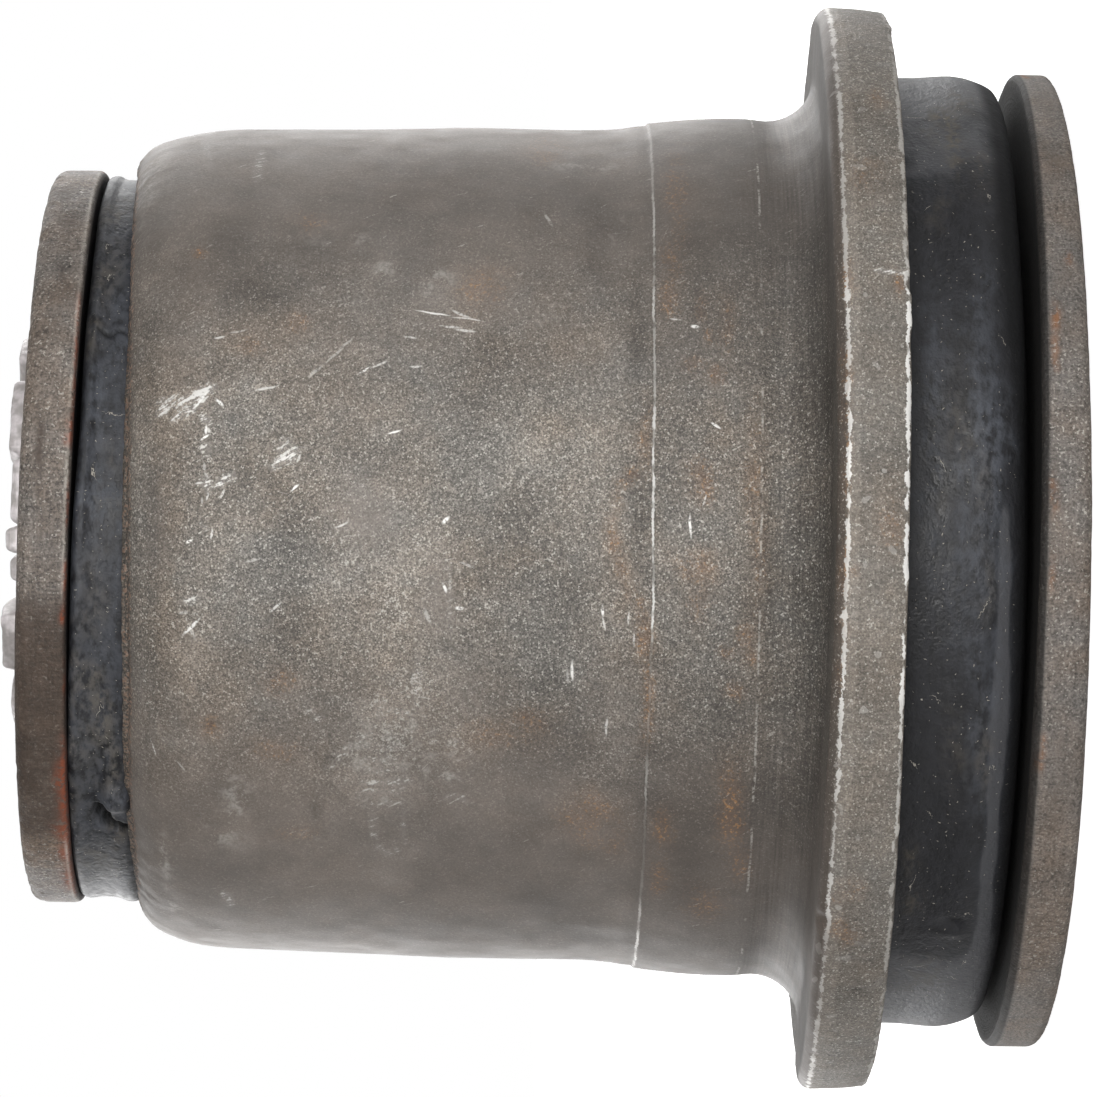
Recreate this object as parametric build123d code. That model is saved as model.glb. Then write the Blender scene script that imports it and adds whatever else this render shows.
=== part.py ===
from build123d import *
import math
import os

# Flanged rubber-metal suspension bush, standing on its large washer.
# Frame: +Z along the axis of the bolt bore, z = 0 on the outer face of the large
# washer, x = y = 0 on the bore axis. All lengths are millimetres.

os.makedirs("parts", exist_ok=True)

# ---------------------------------------------------------------- driving dimensions
# large end washer
LW_R = 29.87          # outer radius
LW_T = 3.0            # thickness
LW_OFF = 0.53         # rim runs off centre to its hole, towards -X
LW_EDGE = (0.6, 0.45)  # rounded rim edges: outer face, inner face

# small end washer
SW_R = 22.5
SW_T = 3.0
SW_Z0 = 58.3          # inner face
SW_EDGE = (0.4, 0.8)  # inner face, outer face

# inner sleeve
BORE_R = 8.1          # clearance hole for an M16 bolt
SPIGOT_R = 11.2       # both ends are turned down to carry a washer
SLEEVE_R = 13.5       # bonded length between the washers
SLEEVE_CHAMFER = 0.5  # at the mouths of the bore
STAKE_BASE = 0.75     # upset ring that holds the small washer
STAKE_R = 12.3
# lobes left by the staking punch: start angle, sweep (degrees from +X), height, outer radius
LOBES = [
    (196.0, 20.0, 1.45, 12.50),
    (229.0, 19.0, 1.70, 12.50),
    (257.0, 7.0, 1.10, 12.35),
    (265.0, 7.5, 1.40, 12.50),
    (273.5, 18.5, 1.12, 12.45),
    (293.5, 25.0, 1.42, 12.60),
    (329.0, 15.0, 1.35, 12.60),
    (352.0, 22.0, 1.30, 12.45),
    (22.0, 17.0, 1.50, 12.55),
    (46.0, 24.0, 1.20, 12.60),
    (80.0, 15.0, 1.45, 12.40),
    (102.0, 26.0, 1.25, 12.55),
    (136.0, 18.0, 1.50, 12.50),
    (163.0, 22.0, 1.20, 12.60),
]

# outer shell
FL_Z0 = 10.55         # flange, face against the rubber collar
FL_Z1 = 14.75         # flange, face that seats on the housing
FL_R = 33.20
FL_ROLL = 0.85        # rolled-over edge on the seating side
FL_FILLET = 2.76      # between flange and wall
NECK_R = 26.25
SEAT_R = 26.35        # larger seat next to the flange
SEAT_Z0 = 18.8
SEAT_Z1 = 20.4
STEP_Z = 24.65        # low step between the seat and the wall
STEP_R = 25.99
RUN_OUT_R = 25.82     # the wall swells a little towards the step
WALL_R = 25.52        # press-fit diameter
WALL_Z0 = 28.5        # straight length
WALL_Z1 = 37.0
MOUTH_Z = 55.45       # turned-in mouth
MOUTH_R = 22.06
INNER_R = 22.5        # inside of the drawn wall
INNER_ROLL = 1.6      # inside radius at the flange

# rubber
COLLAR_R0 = 29.04     # thrust collar at the flange
COLLAR_R1 = 29.19     # and at its fullest
COLLAR_SHOULDER_Z = 5.0
COLLAR_FACE_Z = 3.85  # end face of the collar at its rim
COLLAR_SEAT_R = 22.7  # where the collar bears on the large washer
RING_R = 22.0         # ring that stands out of the shell's mouth
RING_Z = 57.7
RING_SEAT_R = 17.35   # where the ring bears on the small washer


def turned(*edges):
    """Solid of revolution about Z from edges in the XZ plane (x is the radius)."""
    face = make_face(Wire(list(edges)))
    return revolve(face, Axis.Z)


def P(r, z):
    return Vector(r, 0, z)


def line(a, b):
    return Edge.make_line(P(*a), P(*b))


def arc(a, m, b):
    return Edge.make_three_point_arc(P(*a), P(*m), P(*b))


def quarter(a, b, centre, radius):
    """Arc from a to b about centre, by its middle point."""
    mx = (a[0] + b[0]) / 2 - centre[0]
    mz = (a[1] + b[1]) / 2 - centre[1]
    k = radius / math.hypot(mx, mz)
    return arc(a, (centre[0] + mx * k, centre[1] + mz * k), b)


def chain(points):
    return [line(a, b) for a, b in zip(points, points[1:])]


# ---------------------------------------------------------------- outer shell
fil_c = (NECK_R + FL_FILLET, FL_Z1 + FL_FILLET)
fil_a = (NECK_R + FL_FILLET, FL_Z1)
fil_b = (NECK_R, FL_Z1 + FL_FILLET)
roll_c = (FL_R - FL_ROLL, FL_Z1 - FL_ROLL)
roll_a = (FL_R, FL_Z1 - FL_ROLL)
roll_b = (FL_R - FL_ROLL, FL_Z1)
in_c = (INNER_R + INNER_ROLL, FL_Z0 + INNER_ROLL)
in_a = (INNER_R, FL_Z0 + INNER_ROLL)
in_b = (INNER_R + INNER_ROLL, FL_Z0)

shell_edges = []
shell_edges += chain([in_b, (FL_R - 0.18, FL_Z0), (FL_R, FL_Z0 + 1.6), roll_a])
shell_edges += [quarter(roll_a, roll_b, roll_c, FL_ROLL)]
shell_edges += [line(roll_b, fil_a), quarter(fil_a, fil_b, fil_c, FL_FILLET)]
shell_edges += chain(
    [
        fil_b,
        (NECK_R, FL_Z1 + FL_FILLET + 0.5),
        (SEAT_R, SEAT_Z0),
        (SEAT_R, SEAT_Z1),
        (STEP_R, STEP_Z - 0.1),
        (RUN_OUT_R, STEP_Z + 0.05),
        (RUN_OUT_R - 0.02, STEP_Z + 0.6),
        (WALL_R + 0.13, 26.2),
        (WALL_R + 0.04, 27.2),
        (WALL_R, WALL_Z0),
        (WALL_R, WALL_Z1),
    ]
)
# the wall draws in towards the mouth, then turns over
turn_in = [
    (WALL_R, WALL_Z1),
    (25.41, 40.0),
    (25.28, 45.0),
    (25.18, 49.3),
    (24.93, 52.0),
    (24.38, 53.7),
    (23.59, 54.9),
]
shell_edges += [
    Edge.make_spline([P(*p) for p in turn_in], tangents=[Vector(0, 0, 1), Vector(-0.80, 0, 0.60)])
]
lip = (22.65, MOUTH_Z)
shell_edges += [
    Edge.make_spline([P(*turn_in[-1]), P(23.12, 55.25), P(*lip)], tangents=[Vector(-0.80, 0, 0.60), Vector(-1, 0, 0)])
]
shell_edges += chain([lip, (MOUTH_R + 0.25, MOUTH_Z), (MOUTH_R, MOUTH_Z - 0.25), (MOUTH_R, 53.4)])
shell_edges += [arc((MOUTH_R, 53.4), (22.38, 52.9), (INNER_R, 52.2))]
shell_edges += [line((INNER_R, 52.2), in_a), quarter(in_a, in_b, in_c, INNER_ROLL)]
outer_shell = turned(*shell_edges)

# ---------------------------------------------------------------- inner sleeve
SLEEVE_Z1 = SW_Z0 + SW_T
top_base = SLEEVE_Z1 + STAKE_BASE
c = SLEEVE_CHAMFER
sleeve_pts = [
    (BORE_R, c),
    (BORE_R + c, 0.0),
    (SPIGOT_R, 0.0),
    (SPIGOT_R, LW_T),
    (SLEEVE_R, LW_T),
    (SLEEVE_R, SW_Z0),
    (SPIGOT_R, SW_Z0),
    (SPIGOT_R, SLEEVE_Z1),
    (STAKE_R, SLEEVE_Z1),
    (STAKE_R - 0.1, top_base - 0.3),
    (STAKE_R - 0.5, top_base),
    (BORE_R + c + 0.4, top_base),
    (BORE_R, top_base - c - 0.4),
    (BORE_R, c),
]
inner_sleeve = turned(*chain(sleeve_pts))
for start, sweep, height, radius in LOBES:
    z1 = SLEEVE_Z1 + height
    prof = [
        (9.6, SLEEVE_Z1 + 0.3),
        (radius - 0.15, SLEEVE_Z1 + 0.3),
        (radius, SLEEVE_Z1 + 0.6),
        (radius - 0.1, z1 - 0.3),
        (radius - 0.45, z1),
        (10.4, z1 - 0.05),
        (9.6, z1 - 0.4),
        (9.6, SLEEVE_Z1 + 0.3),
    ]
    face = make_face(Wire(chain(prof)))
    lobe = revolve(face, Axis.Z, revolution_arc=sweep).rotate(Axis.Z, start)
    inner_sleeve = inner_sleeve + lobe

# ---------------------------------------------------------------- rubber body
mid_shoulder = (COLLAR_R1 - 0.39, COLLAR_FACE_Z + 0.39)
rubber_edges = chain(
    [
        (SLEEVE_R, LW_T),
        (COLLAR_SEAT_R, LW_T),
        (COLLAR_R1 - 1.35, COLLAR_FACE_Z - 0.15),
    ]
)
rubber_edges += [
    Edge.make_spline(
        [P(COLLAR_R1 - 1.35, COLLAR_FACE_Z - 0.15), P(COLLAR_R1 - 0.33, COLLAR_FACE_Z + 0.30), P(COLLAR_R1, COLLAR_SHOULDER_Z + 0.2)],
        tangents=[Vector(0.97, 0, 0.24), Vector(0, 0, 1)],
    )
]
rubber_edges += chain(
    [
        (COLLAR_R1, COLLAR_SHOULDER_Z + 0.2),
        (COLLAR_R1, 6.4),
        (COLLAR_R0, 8.6),
        (COLLAR_R0, FL_Z0),
        in_b,
    ]
)
rubber_edges += [quarter(in_b, in_a, in_c, INNER_ROLL), line(in_a, (INNER_R, 52.2))]
rubber_edges += [arc((INNER_R, 52.2), (22.38, 52.9), (MOUTH_R, 53.4))]
rubber_edges += chain(
    [
        (MOUTH_R, 53.4),
        (MOUTH_R, MOUTH_Z - 0.25),
        (RING_R, MOUTH_Z + 0.25),
        (RING_R, RING_Z - 0.95),
        (RING_R + 0.2, RING_Z - 0.6),
        (RING_R + 0.1, RING_Z - 0.3),
        (RING_R - 0.45, RING_Z),
        (RING_SEAT_R + 2.6, RING_Z + 0.12),
        (RING_SEAT_R, SW_Z0),
        (SLEEVE_R, SW_Z0),
        (SLEEVE_R, LW_T),
    ]
)
rubber_body = turned(*rubber_edges)

# ---------------------------------------------------------------- washers
def washer(radius, hole, z0, thick, edges, dx=0.0):
    disc = Pos(dx, 0, z0) * Cylinder(radius, thick, align=(Align.CENTER, Align.CENTER, Align.MIN))
    disc = fillet(disc.edges().filter_by(GeomType.CIRCLE).sort_by(Axis.Z)[0], edges[0])
    disc = fillet(disc.edges().filter_by(GeomType.CIRCLE).sort_by(Axis.Z)[-1], edges[1])
    return disc - Pos(0, 0, z0) * Cylinder(hole, thick, align=(Align.CENTER, Align.CENTER, Align.MIN))


large_end_washer = washer(LW_R, SPIGOT_R, 0.0, LW_T, LW_EDGE, -LW_OFF)
small_end_washer = washer(SW_R, SPIGOT_R, SW_Z0, SW_T, SW_EDGE)

# ---------------------------------------------------------------- write
nodes = {
    "outer_shell": outer_shell,
    "rubber_body": rubber_body,
    "inner_sleeve": inner_sleeve,
    "large_end_washer": large_end_washer,
    "small_end_washer": small_end_washer,
}
for name, shape in nodes.items():
    solids = shape.solids()
    print(name, len(solids), round(sum(s.volume for s in solids), 1))
    solid = solids[0] if len(solids) == 1 else Compound(children=list(solids))
    solid.label = name
    export_step(solid, f"parts/{name}.step")
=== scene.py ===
import math

import bpy
import numpy as np
from mathutils import Matrix, Vector


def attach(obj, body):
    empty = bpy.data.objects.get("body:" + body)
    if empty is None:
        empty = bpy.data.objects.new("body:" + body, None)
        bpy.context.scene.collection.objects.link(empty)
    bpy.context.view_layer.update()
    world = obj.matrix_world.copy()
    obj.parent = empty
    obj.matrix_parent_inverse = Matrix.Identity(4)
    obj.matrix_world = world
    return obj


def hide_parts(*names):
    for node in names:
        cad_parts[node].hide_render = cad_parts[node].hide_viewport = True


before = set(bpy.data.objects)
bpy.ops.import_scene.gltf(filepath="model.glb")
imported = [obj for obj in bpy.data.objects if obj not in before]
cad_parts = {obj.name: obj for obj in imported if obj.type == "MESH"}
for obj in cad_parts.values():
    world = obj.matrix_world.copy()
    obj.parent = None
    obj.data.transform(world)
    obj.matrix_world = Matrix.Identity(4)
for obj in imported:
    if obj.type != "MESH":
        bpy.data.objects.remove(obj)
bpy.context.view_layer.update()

# Lengths in this file are millimetres in the CAD frame until a mesh is written.
# phi is the angle round +Z, zero on the -Y side and growing towards +X.
MM = 0.001

scene = bpy.context.scene
scene.view_settings.view_transform = "Standard"
scene.view_settings.look = "None"
scene.view_settings.exposure = 0.0
scene.view_settings.gamma = 1.0

# ------------------------------------------------------------------ camera
CAM_AT = (-0.260, -321.008, 32.324)
CAM_AXES = (
    (0.0165350, 0.9998633, 0.0),
    (-0.0063162, 0.0001045, -0.9999800),
    (-0.9998433, 0.0165347, 0.0063170),
)
cam_data = bpy.data.cameras.new("camera")
cam_data.sensor_width = 36.0
cam_data.lens = 170.182
cam_data.clip_start = 0.01
cam_data.clip_end = 20.0
cam = bpy.data.objects.new("camera", cam_data)
scene.collection.objects.link(cam)
rot = Matrix([list(row) for row in CAM_AXES]).to_4x4()
cam.matrix_world = Matrix.Translation(Vector(CAM_AT) * MM) @ rot
scene.camera = cam


# ------------------------------------------------------------------ seeded noise for the meshes
def _hash(ix, iy, iz, seed):
    n = (ix * 374761393 + iy * 668265263 + iz * 1440662683 + seed * 974634777) & 0xFFFFFFFF
    n = ((n ^ (n >> 13)) * 1274126177) & 0xFFFFFFFF
    return ((n ^ (n >> 16)) & 0xFFFFFF) / float(0x1000000)


def noise(p, size, seed):
    """Value noise, -1 to 1, whose lumps are about size millimetres."""
    q = np.asarray(p, float) / size + 71.3
    i = np.floor(q).astype(np.int64)
    f = q - i
    w = f * f * f * (f * (f * 6 - 15) + 10)
    out = 0.0
    for dx in (0, 1):
        for dy in (0, 1):
            for dz in (0, 1):
                wx = w[..., 0] if dx else 1 - w[..., 0]
                wy = w[..., 1] if dy else 1 - w[..., 1]
                wz = w[..., 2] if dz else 1 - w[..., 2]
                out = out + wx * wy * wz * _hash(i[..., 0] + dx, i[..., 1] + dy, i[..., 2] + dz, seed)
    return 2 * out - 1


def fbm(p, size, seed, octaves=3, gain=0.5):
    total, amp, norm = 0.0, 1.0, 0.0
    for k in range(octaves):
        total = total + amp * noise(p, size / 2**k, seed + 17 * k)
        norm += amp
        amp *= gain
    return total / norm


def smooth(a, b, x):
    t = np.clip((np.asarray(x, float) - a) / (b - a), 0, 1)
    return t * t * (3 - 2 * t)


def bump(x, centre, half):
    """One at centre, zero past half, round-topped."""
    t = np.clip(np.abs((np.asarray(x, float) - centre) / half), 0, 1)
    return (1 - t * t) ** 2


def turn(deg):
    """An angle brought into -180 to 180."""
    return (np.asarray(deg, float) + 180.0) % 360.0 - 180.0


# ------------------------------------------------------------------ turned meshes
def spread(points, step):
    """Points of a polyline with none further apart than step."""
    out = [points[0]]
    for a, b in zip(points, points[1:]):
        n = max(1, int(math.ceil(math.hypot(b[0] - a[0], b[1] - a[1]) / step)))
        out += [(a[0] + (b[0] - a[0]) * k / n, a[1] + (b[1] - a[1]) * k / n) for k in range(1, n + 1)]
    return out


def curve(points, n):
    """Catmull-Rom through points, n spans to each."""
    p = [points[0]] + list(points) + [points[-1]]
    out = []
    for k in range(1, len(p) - 2):
        for j in range(n):
            t = j / n
            a, b, c, d = (np.array(q, float) for q in p[k - 1 : k + 3])
            out.append(tuple(0.5 * ((2 * b) + (c - a) * t + (2 * a - 5 * b + 4 * c - d) * t * t + (3 * b - a - 3 * c + d) * t**3)))
    out.append(tuple(points[-1]))
    return out


def arc(cr, cz, rad, a0, a1, n):
    """Arc in the profile plane about (cr, cz), degrees from +r towards +z, n spans."""
    return [
        (cr + rad * math.cos(math.radians(a0 + (a1 - a0) * k / n)), cz + rad * math.sin(math.radians(a0 + (a1 - a0) * k / n)))
        for k in range(n + 1)
    ]


def tidy(points):
    out = []
    for p in points:
        if not out or math.hypot(p[0] - out[-1][0], p[1] - out[-1][1]) > 1e-4:
            out.append((float(p[0]), float(p[1])))
    if math.hypot(out[0][0] - out[-1][0], out[0][1] - out[-1][1]) < 1e-4:
        out.pop()
    return out


# radii are set out a little large outside the sleeve, and brought to size in the mesh
RADII = (0.0, 14.0, 20.0, 40.0)
RADII_MM = (0.0, 14.0, 19.74, 39.48)


class Turned:
    """A closed profile carried round +Z, as arrays [row, column] that can be pushed about before it becomes a mesh.
    columns is how many there are on the -Y side and on the +Y side."""

    def __init__(self, profile, columns):
        prof = tidy(profile)
        r = np.array([p[0] for p in prof])
        z = np.array([p[1] for p in prof])
        near, far = columns
        turns = np.concatenate([-96.0 + 192.0 * np.arange(near) / near, 96.0 + 168.0 * np.arange(far) / far])
        columns = near + far
        self.rows, self.columns = len(prof), columns
        self.phi = np.broadcast_to(turns, (self.rows, columns))
        self.r = np.repeat(r[:, None], columns, 1)
        self.z = np.repeat(z[:, None], columns, 1)
        self.r0, self.z0 = self.r.copy(), self.z.copy()
        dr = np.roll(r, -1) - np.roll(r, 1)
        dz = np.roll(z, -1) - np.roll(z, 1)
        d = np.hypot(dr, dz)
        self.nr = np.repeat((dz / d)[:, None], columns, 1)
        self.nz = np.repeat((-dr / d)[:, None], columns, 1)
        self.dx = np.zeros((self.rows, columns))
        self.dy = np.zeros((self.rows, columns))
        self.masks = {}

    def points(self):
        a = np.radians(self.phi)
        return np.stack([self.r0 * np.sin(a), -self.r0 * np.cos(a), self.z0], -1)

    def push(self, amount):
        """Along the profile's normal, outwards."""
        self.r = self.r + self.nr * amount
        self.z = self.z + self.nz * amount

    def mesh(self, name, material, node):
        a = np.radians(self.phi)
        r = np.interp(self.r, RADII, RADII_MM)
        co = np.stack([r * np.sin(a) + self.dx, -r * np.cos(a) + self.dy, self.z], -1).reshape(-1, 3)
        rows, columns = self.rows, self.columns
        k = np.arange(rows)[:, None]
        j = np.arange(columns)[None, :]
        k1, j1 = (k + 1) % rows, (j + 1) % columns
        quads = np.stack([k * columns + j, k * columns + j1, k1 * columns + j1, k1 * columns + j], -1).reshape(-1, 4)
        me = bpy.data.meshes.new(name)
        me.vertices.add(len(co))
        me.vertices.foreach_set("co", (co * MM).astype(np.float32).ravel())
        me.loops.add(len(quads) * 4)
        me.loops.foreach_set("vertex_index", quads.astype(np.int32).ravel())
        me.polygons.add(len(quads))
        me.polygons.foreach_set("loop_start", (np.arange(len(quads)) * 4).astype(np.int32))
        me.polygons.foreach_set("use_smooth", np.ones(len(quads), bool))
        me.update(calc_edges=True)
        me.validate()
        for key, value in self.masks.items():
            at = me.attributes.new(key, "FLOAT", "POINT")
            at.data.foreach_set("value", np.clip(value, -1, 1).astype(np.float32).ravel())
        o = bpy.data.objects.new(name, me)
        scene.collection.objects.link(o)
        me.materials.append(material)
        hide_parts(node)
        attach(o, "root")
        return o


def scrape(phi, z, radius, rows, p, seed):
    """Capsules from (phi, z) to (phi, z), so wide and so strong, with frayed edges."""
    fray = 0.6 * noise(p, 0.8, seed) + 0.4 * noise(p, 0.35, seed + 1)
    out = np.zeros_like(z)
    for a0, z0, a1, z1, w, k in rows:
        u = np.radians(turn(phi - a0)) * radius
        du, dz = math.radians(a1 - a0) * radius, z1 - z0
        v = z - z0
        near = (np.abs(u) < abs(du) + 3 * w + 0.5) & (np.abs(v) < abs(dz) + 3 * w + 0.5)
        if not near.any():
            continue
        t = np.clip((u[near] * du + v[near] * dz) / (du * du + dz * dz), 0, 1)
        d = np.hypot(u[near] - t * du, v[near] - t * dz) / (w * 0.85) + 0.45 * fray[near]
        out[near] = np.maximum(out[near], k * (1 - smooth(0.45, 1.35, d)) * (1 - 0.5 * np.abs(2 * t - 1) ** 3))
    return out


def paint(phi, z, radius, spots, p, seed, ragged=0.35):
    """Soft patches (phi, z, half width round, half height along, strength) with ragged outlines."""
    wu = noise(p, 1.6, seed) * 0.8 + noise(p, 0.7, seed + 1) * 0.45
    wz = noise(p, 1.6, seed + 2) * 0.8 + noise(p, 0.7, seed + 3) * 0.45
    out = np.zeros_like(phi)
    for pc, zc, du, dz, k in spots:
        u = np.radians(turn(phi - pc)) * radius
        near = (np.abs(u) < du * 2.2 + 1) & (np.abs(z - zc) < dz * 2.2 + 1)
        if not near.any():
            continue
        uu = u[near] / du + wu[near] * ragged * min(1.0, 1.6 / du) * 1.2
        vv = (z[near] - zc) / dz + wz[near] * ragged * min(1.0, 1.6 / dz) * 1.2
        out[near] = np.maximum(out[near], k * np.exp(-1.3 * (uu * uu + vv * vv)))
    return out


# ------------------------------------------------------------------ node graphs
def lin(r, g, b):
    """A colour given as it looks on a screen, 0 to 255, as the linear RGBA that shaders take."""
    def one(c):
        c /= 255.0
        return c / 12.92 if c <= 0.04045 else ((c + 0.055) / 1.055) ** 2.4
    return (one(r), one(g), one(b), 1.0)


class V:
    """A value, vector or colour in a node graph, with arithmetic."""

    def __init__(self, g, s):
        self.g, self.s = g, s

    def __add__(self, o):
        return self.g.math("ADD", self, o)

    def __sub__(self, o):
        return self.g.math("SUBTRACT", self, o)

    def __rsub__(self, o):
        return self.g.math("SUBTRACT", o, self)

    def __mul__(self, o):
        return self.g.math("MULTIPLY", self, o)

    def __truediv__(self, o):
        return self.g.math("DIVIDE", self, o)

    __radd__, __rmul__ = __add__, __mul__


class Graph:
    def __init__(self, name):
        self.mat = bpy.data.materials.new(name)
        self.mat.use_nodes = True
        self.t = self.mat.node_tree
        self.t.nodes.clear()
        self._pos = None

    def node(self, kind, **settings):
        n = self.t.nodes.new(kind)
        for k, v in settings.items():
            setattr(n, k, v)
        return n

    def put(self, socket, value):
        if value is None:
            return
        if isinstance(value, V):
            self.t.links.new(value.s, socket)
        else:
            socket.default_value = value

    def math(self, op, a, b=None, c=None, clamp=False):
        n = self.node("ShaderNodeMath", operation=op, use_clamp=clamp)
        for s, v in zip(n.inputs, (a, b, c)):
            self.put(s, v)
        return V(self, n.outputs[0])

    def vec(self, op, a, b=None, scale=None):
        n = self.node("ShaderNodeVectorMath", operation=op)
        self.put(n.inputs[0], a)
        self.put(n.inputs[1], b)
        if scale is not None:
            self.put(n.inputs["Scale"], scale)
        return V(self, n.outputs["Value"] if op in ("LENGTH", "DISTANCE", "DOT_PRODUCT") else n.outputs["Vector"])

    def pos(self):
        """Object coordinates in millimetres."""
        if self._pos is None:
            tc = self.node("ShaderNodeTexCoord")
            self._pos = self.vec("SCALE", V(self, tc.outputs["Object"]), scale=1000.0)
        return self._pos

    def sep(self, v):
        n = self.node("ShaderNodeSeparateXYZ")
        self.put(n.inputs[0], v)
        return [V(self, o) for o in n.outputs]

    def comb(self, x=0.0, y=0.0, z=0.0):
        n = self.node("ShaderNodeCombineXYZ")
        for s, v in zip(n.inputs, (x, y, z)):
            self.put(s, v)
        return V(self, n.outputs[0])

    def attr(self, name):
        return V(self, self.node("ShaderNodeAttribute", attribute_name=name).outputs["Fac"])

    def noise(self, vec, size, detail=2.0, rough=0.5, dist=0.0, colour=False):
        n = self.node("ShaderNodeTexNoise")
        self.put(n.inputs["Vector"], vec)
        n.inputs["Scale"].default_value = 1.0 / size
        n.inputs["Detail"].default_value = detail
        n.inputs["Roughness"].default_value = rough
        n.inputs["Distortion"].default_value = dist
        return V(self, n.outputs["Color" if colour else "Fac"])

    def grain(self, vec, size):
        """A different number, 0 to 1, in every little cube."""
        skew = self.comb(self.vec("DOT_PRODUCT", vec, (0.77, 0.44, 0.46)), self.vec("DOT_PRODUCT", vec, (-0.61, 0.69, 0.38)), self.vec("DOT_PRODUCT", vec, (-0.15, -0.57, 0.80)))
        n = self.node("ShaderNodeTexWhiteNoise", noise_dimensions="3D")
        self.put(n.inputs["Vector"], self.vec("FLOOR", self.vec("SCALE", skew, scale=1.0 / size)))
        return V(self, n.outputs["Value"])

    def cells(self, vec, size, feature="F1", rand=1.0, smoothness=0.5):
        n = self.node("ShaderNodeTexVoronoi", feature=feature)
        self.put(n.inputs["Vector"], vec)
        n.inputs["Scale"].default_value = 1.0 / size
        n.inputs["Randomness"].default_value = rand
        if feature == "SMOOTH_F1":
            n.inputs["Smoothness"].default_value = smoothness
        return V(self, n.outputs["Distance"]), V(self, n.outputs["Color"]) if "Color" in n.outputs else None

    def span(self, x, a, b, lo=0.0, hi=1.0, kind="SMOOTHSTEP"):
        """x from a to b, as lo to hi, clamped."""
        n = self.node("ShaderNodeMapRange", interpolation_type=kind, clamp=True)
        for s, v in zip(n.inputs, (x, a, b, lo, hi)):
            self.put(s, v)
        return V(self, n.outputs[0])

    def mix(self, f, a, b, blend="MIX"):
        n = self.node("ShaderNodeMix", data_type="RGBA", blend_type=blend, clamp_factor=True)
        self.put(n.inputs[0], f)
        self.put(n.inputs[6], a)
        self.put(n.inputs[7], b)
        return V(self, n.outputs[2])

    def pick(self, f, a, b):
        n = self.node("ShaderNodeMix", data_type="FLOAT", clamp_factor=True)
        self.put(n.inputs[0], f)
        self.put(n.inputs[2], a)
        self.put(n.inputs[3], b)
        return V(self, n.outputs[0])

    def ramp(self, x, stops):
        n = self.node("ShaderNodeValToRGB")
        while len(n.color_ramp.elements) > 1:
            n.color_ramp.elements.remove(n.color_ramp.elements[-1])
        n.color_ramp.elements[0].position = stops[0][0]
        n.color_ramp.elements[0].color = (stops[0][1],) * 3 + (1,)
        for p, v in stops[1:]:
            n.color_ramp.elements.new(p).color = (v, v, v, 1)
        self.put(n.inputs[0], x)
        return V(self, n.outputs[0])

    def most(self, *values):
        out = values[0]
        for v in values[1:]:
            out = self.math("MAXIMUM", out, v)
        return out

    def scale(self, colour, k):
        """A colour times a number."""
        return self.vec("SCALE", colour, scale=k)

    def strokes(self, uvw, rows, ways=9):
        """Tapered scratches between pairs of points of the uv plane (u0, v0, u1, v1, width, strength).
        Directions are rounded to a few, so that each scratch costs three nodes; the third part of uvw is 1."""
        groups = {}
        for row in rows:
            u0, v0, u1, v1, w, k = row
            way = round((math.degrees(math.atan2(v1 - v0, u1 - u0)) % 180.0) / (180.0 / ways)) % ways
            groups.setdefault(way, []).append(row)
        out = None
        for level in (1.0, 0.72, 0.45):
            least = None
            for way, members in groups.items():
                mine = [q for q in members if min((1.0, 0.72, 0.45), key=lambda x: abs(x - q[5])) == level]
                if not mine:
                    continue
                c, s = math.cos(math.radians(way * 180.0 / ways)), math.sin(math.radians(way * 180.0 / ways))
                along = self.vec("DOT_PRODUCT", uvw, (c, s, 0.0))
                across = self.vec("DOT_PRODUCT", uvw, (-s, c, 0.0))
                turned = self.comb(along, across, 0.0)
                for u0, v0, u1, v1, w, k in mine:
                    mu, mv = (u0 + u1) / 2, (v0 + v1) / 2
                    long, thin = math.hypot(u1 - u0, v1 - v0) / 2 + w / 2, w / 2
                    n = self.node("ShaderNodeVectorMath", operation="MULTIPLY_ADD")
                    self.put(n.inputs[0], turned)
                    n.inputs[1].default_value = (1 / long, 1 / thin, 0.0)
                    n.inputs[2].default_value = (-(mu * c + mv * s) / long, -(mv * c - mu * s) / thin, 0.0)
                    d = self.vec("LENGTH", V(self, n.outputs[0]))
                    least = d if least is None else self.math("MINIMUM", least, d)
            if least is not None:
                level_marks = self.span(least, 1.12, 0.45, 0.0, level)
                out = level_marks if out is None else self.most(out, level_marks)
        return out

    def ticks(self, u, v, size, long, thin, lean, swing, share):
        """Short straight nicks scattered over the uv plane, one to a cell for that share of the cells, leaning lean radians and up to swing either way."""
        n = self.node("ShaderNodeTexVoronoi", feature="F1", voronoi_dimensions="2D")
        uv = self.comb(u, v, 0.0)
        self.put(n.inputs["Vector"], uv)
        n.inputs["Scale"].default_value = 1.0 / size
        c = self.sep(V(self, n.outputs["Color"]))
        local = self.sep(self.vec("SUBTRACT", uv, V(self, n.outputs["Position"])))
        a = self.math("MULTIPLY_ADD", c[0], 2 * swing, lean - swing)
        ca, sa = self.math("COSINE", a), self.math("SINE", a)
        along = self.math("ABSOLUTE", local[0] * ca + local[1] * sa) / self.math("MULTIPLY_ADD", c[2], long, long * 0.25)
        across = self.math("ABSOLUTE", local[1] * ca - local[0] * sa)
        return self.span(across + along * thin * 0.6, thin, thin * 0.45) * self.span(along, 1.0, 0.75) * self.math("GREATER_THAN", c[1], 1.0 - share)

    def height(self, h, distance_mm, strength=1.0, normal=None):
        n = self.node("ShaderNodeBump")
        n.inputs["Strength"].default_value = strength
        n.inputs["Distance"].default_value = distance_mm * MM
        self.put(n.inputs["Height"], h)
        self.put(n.inputs["Normal"], normal)
        return V(self, n.outputs[0])

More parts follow.
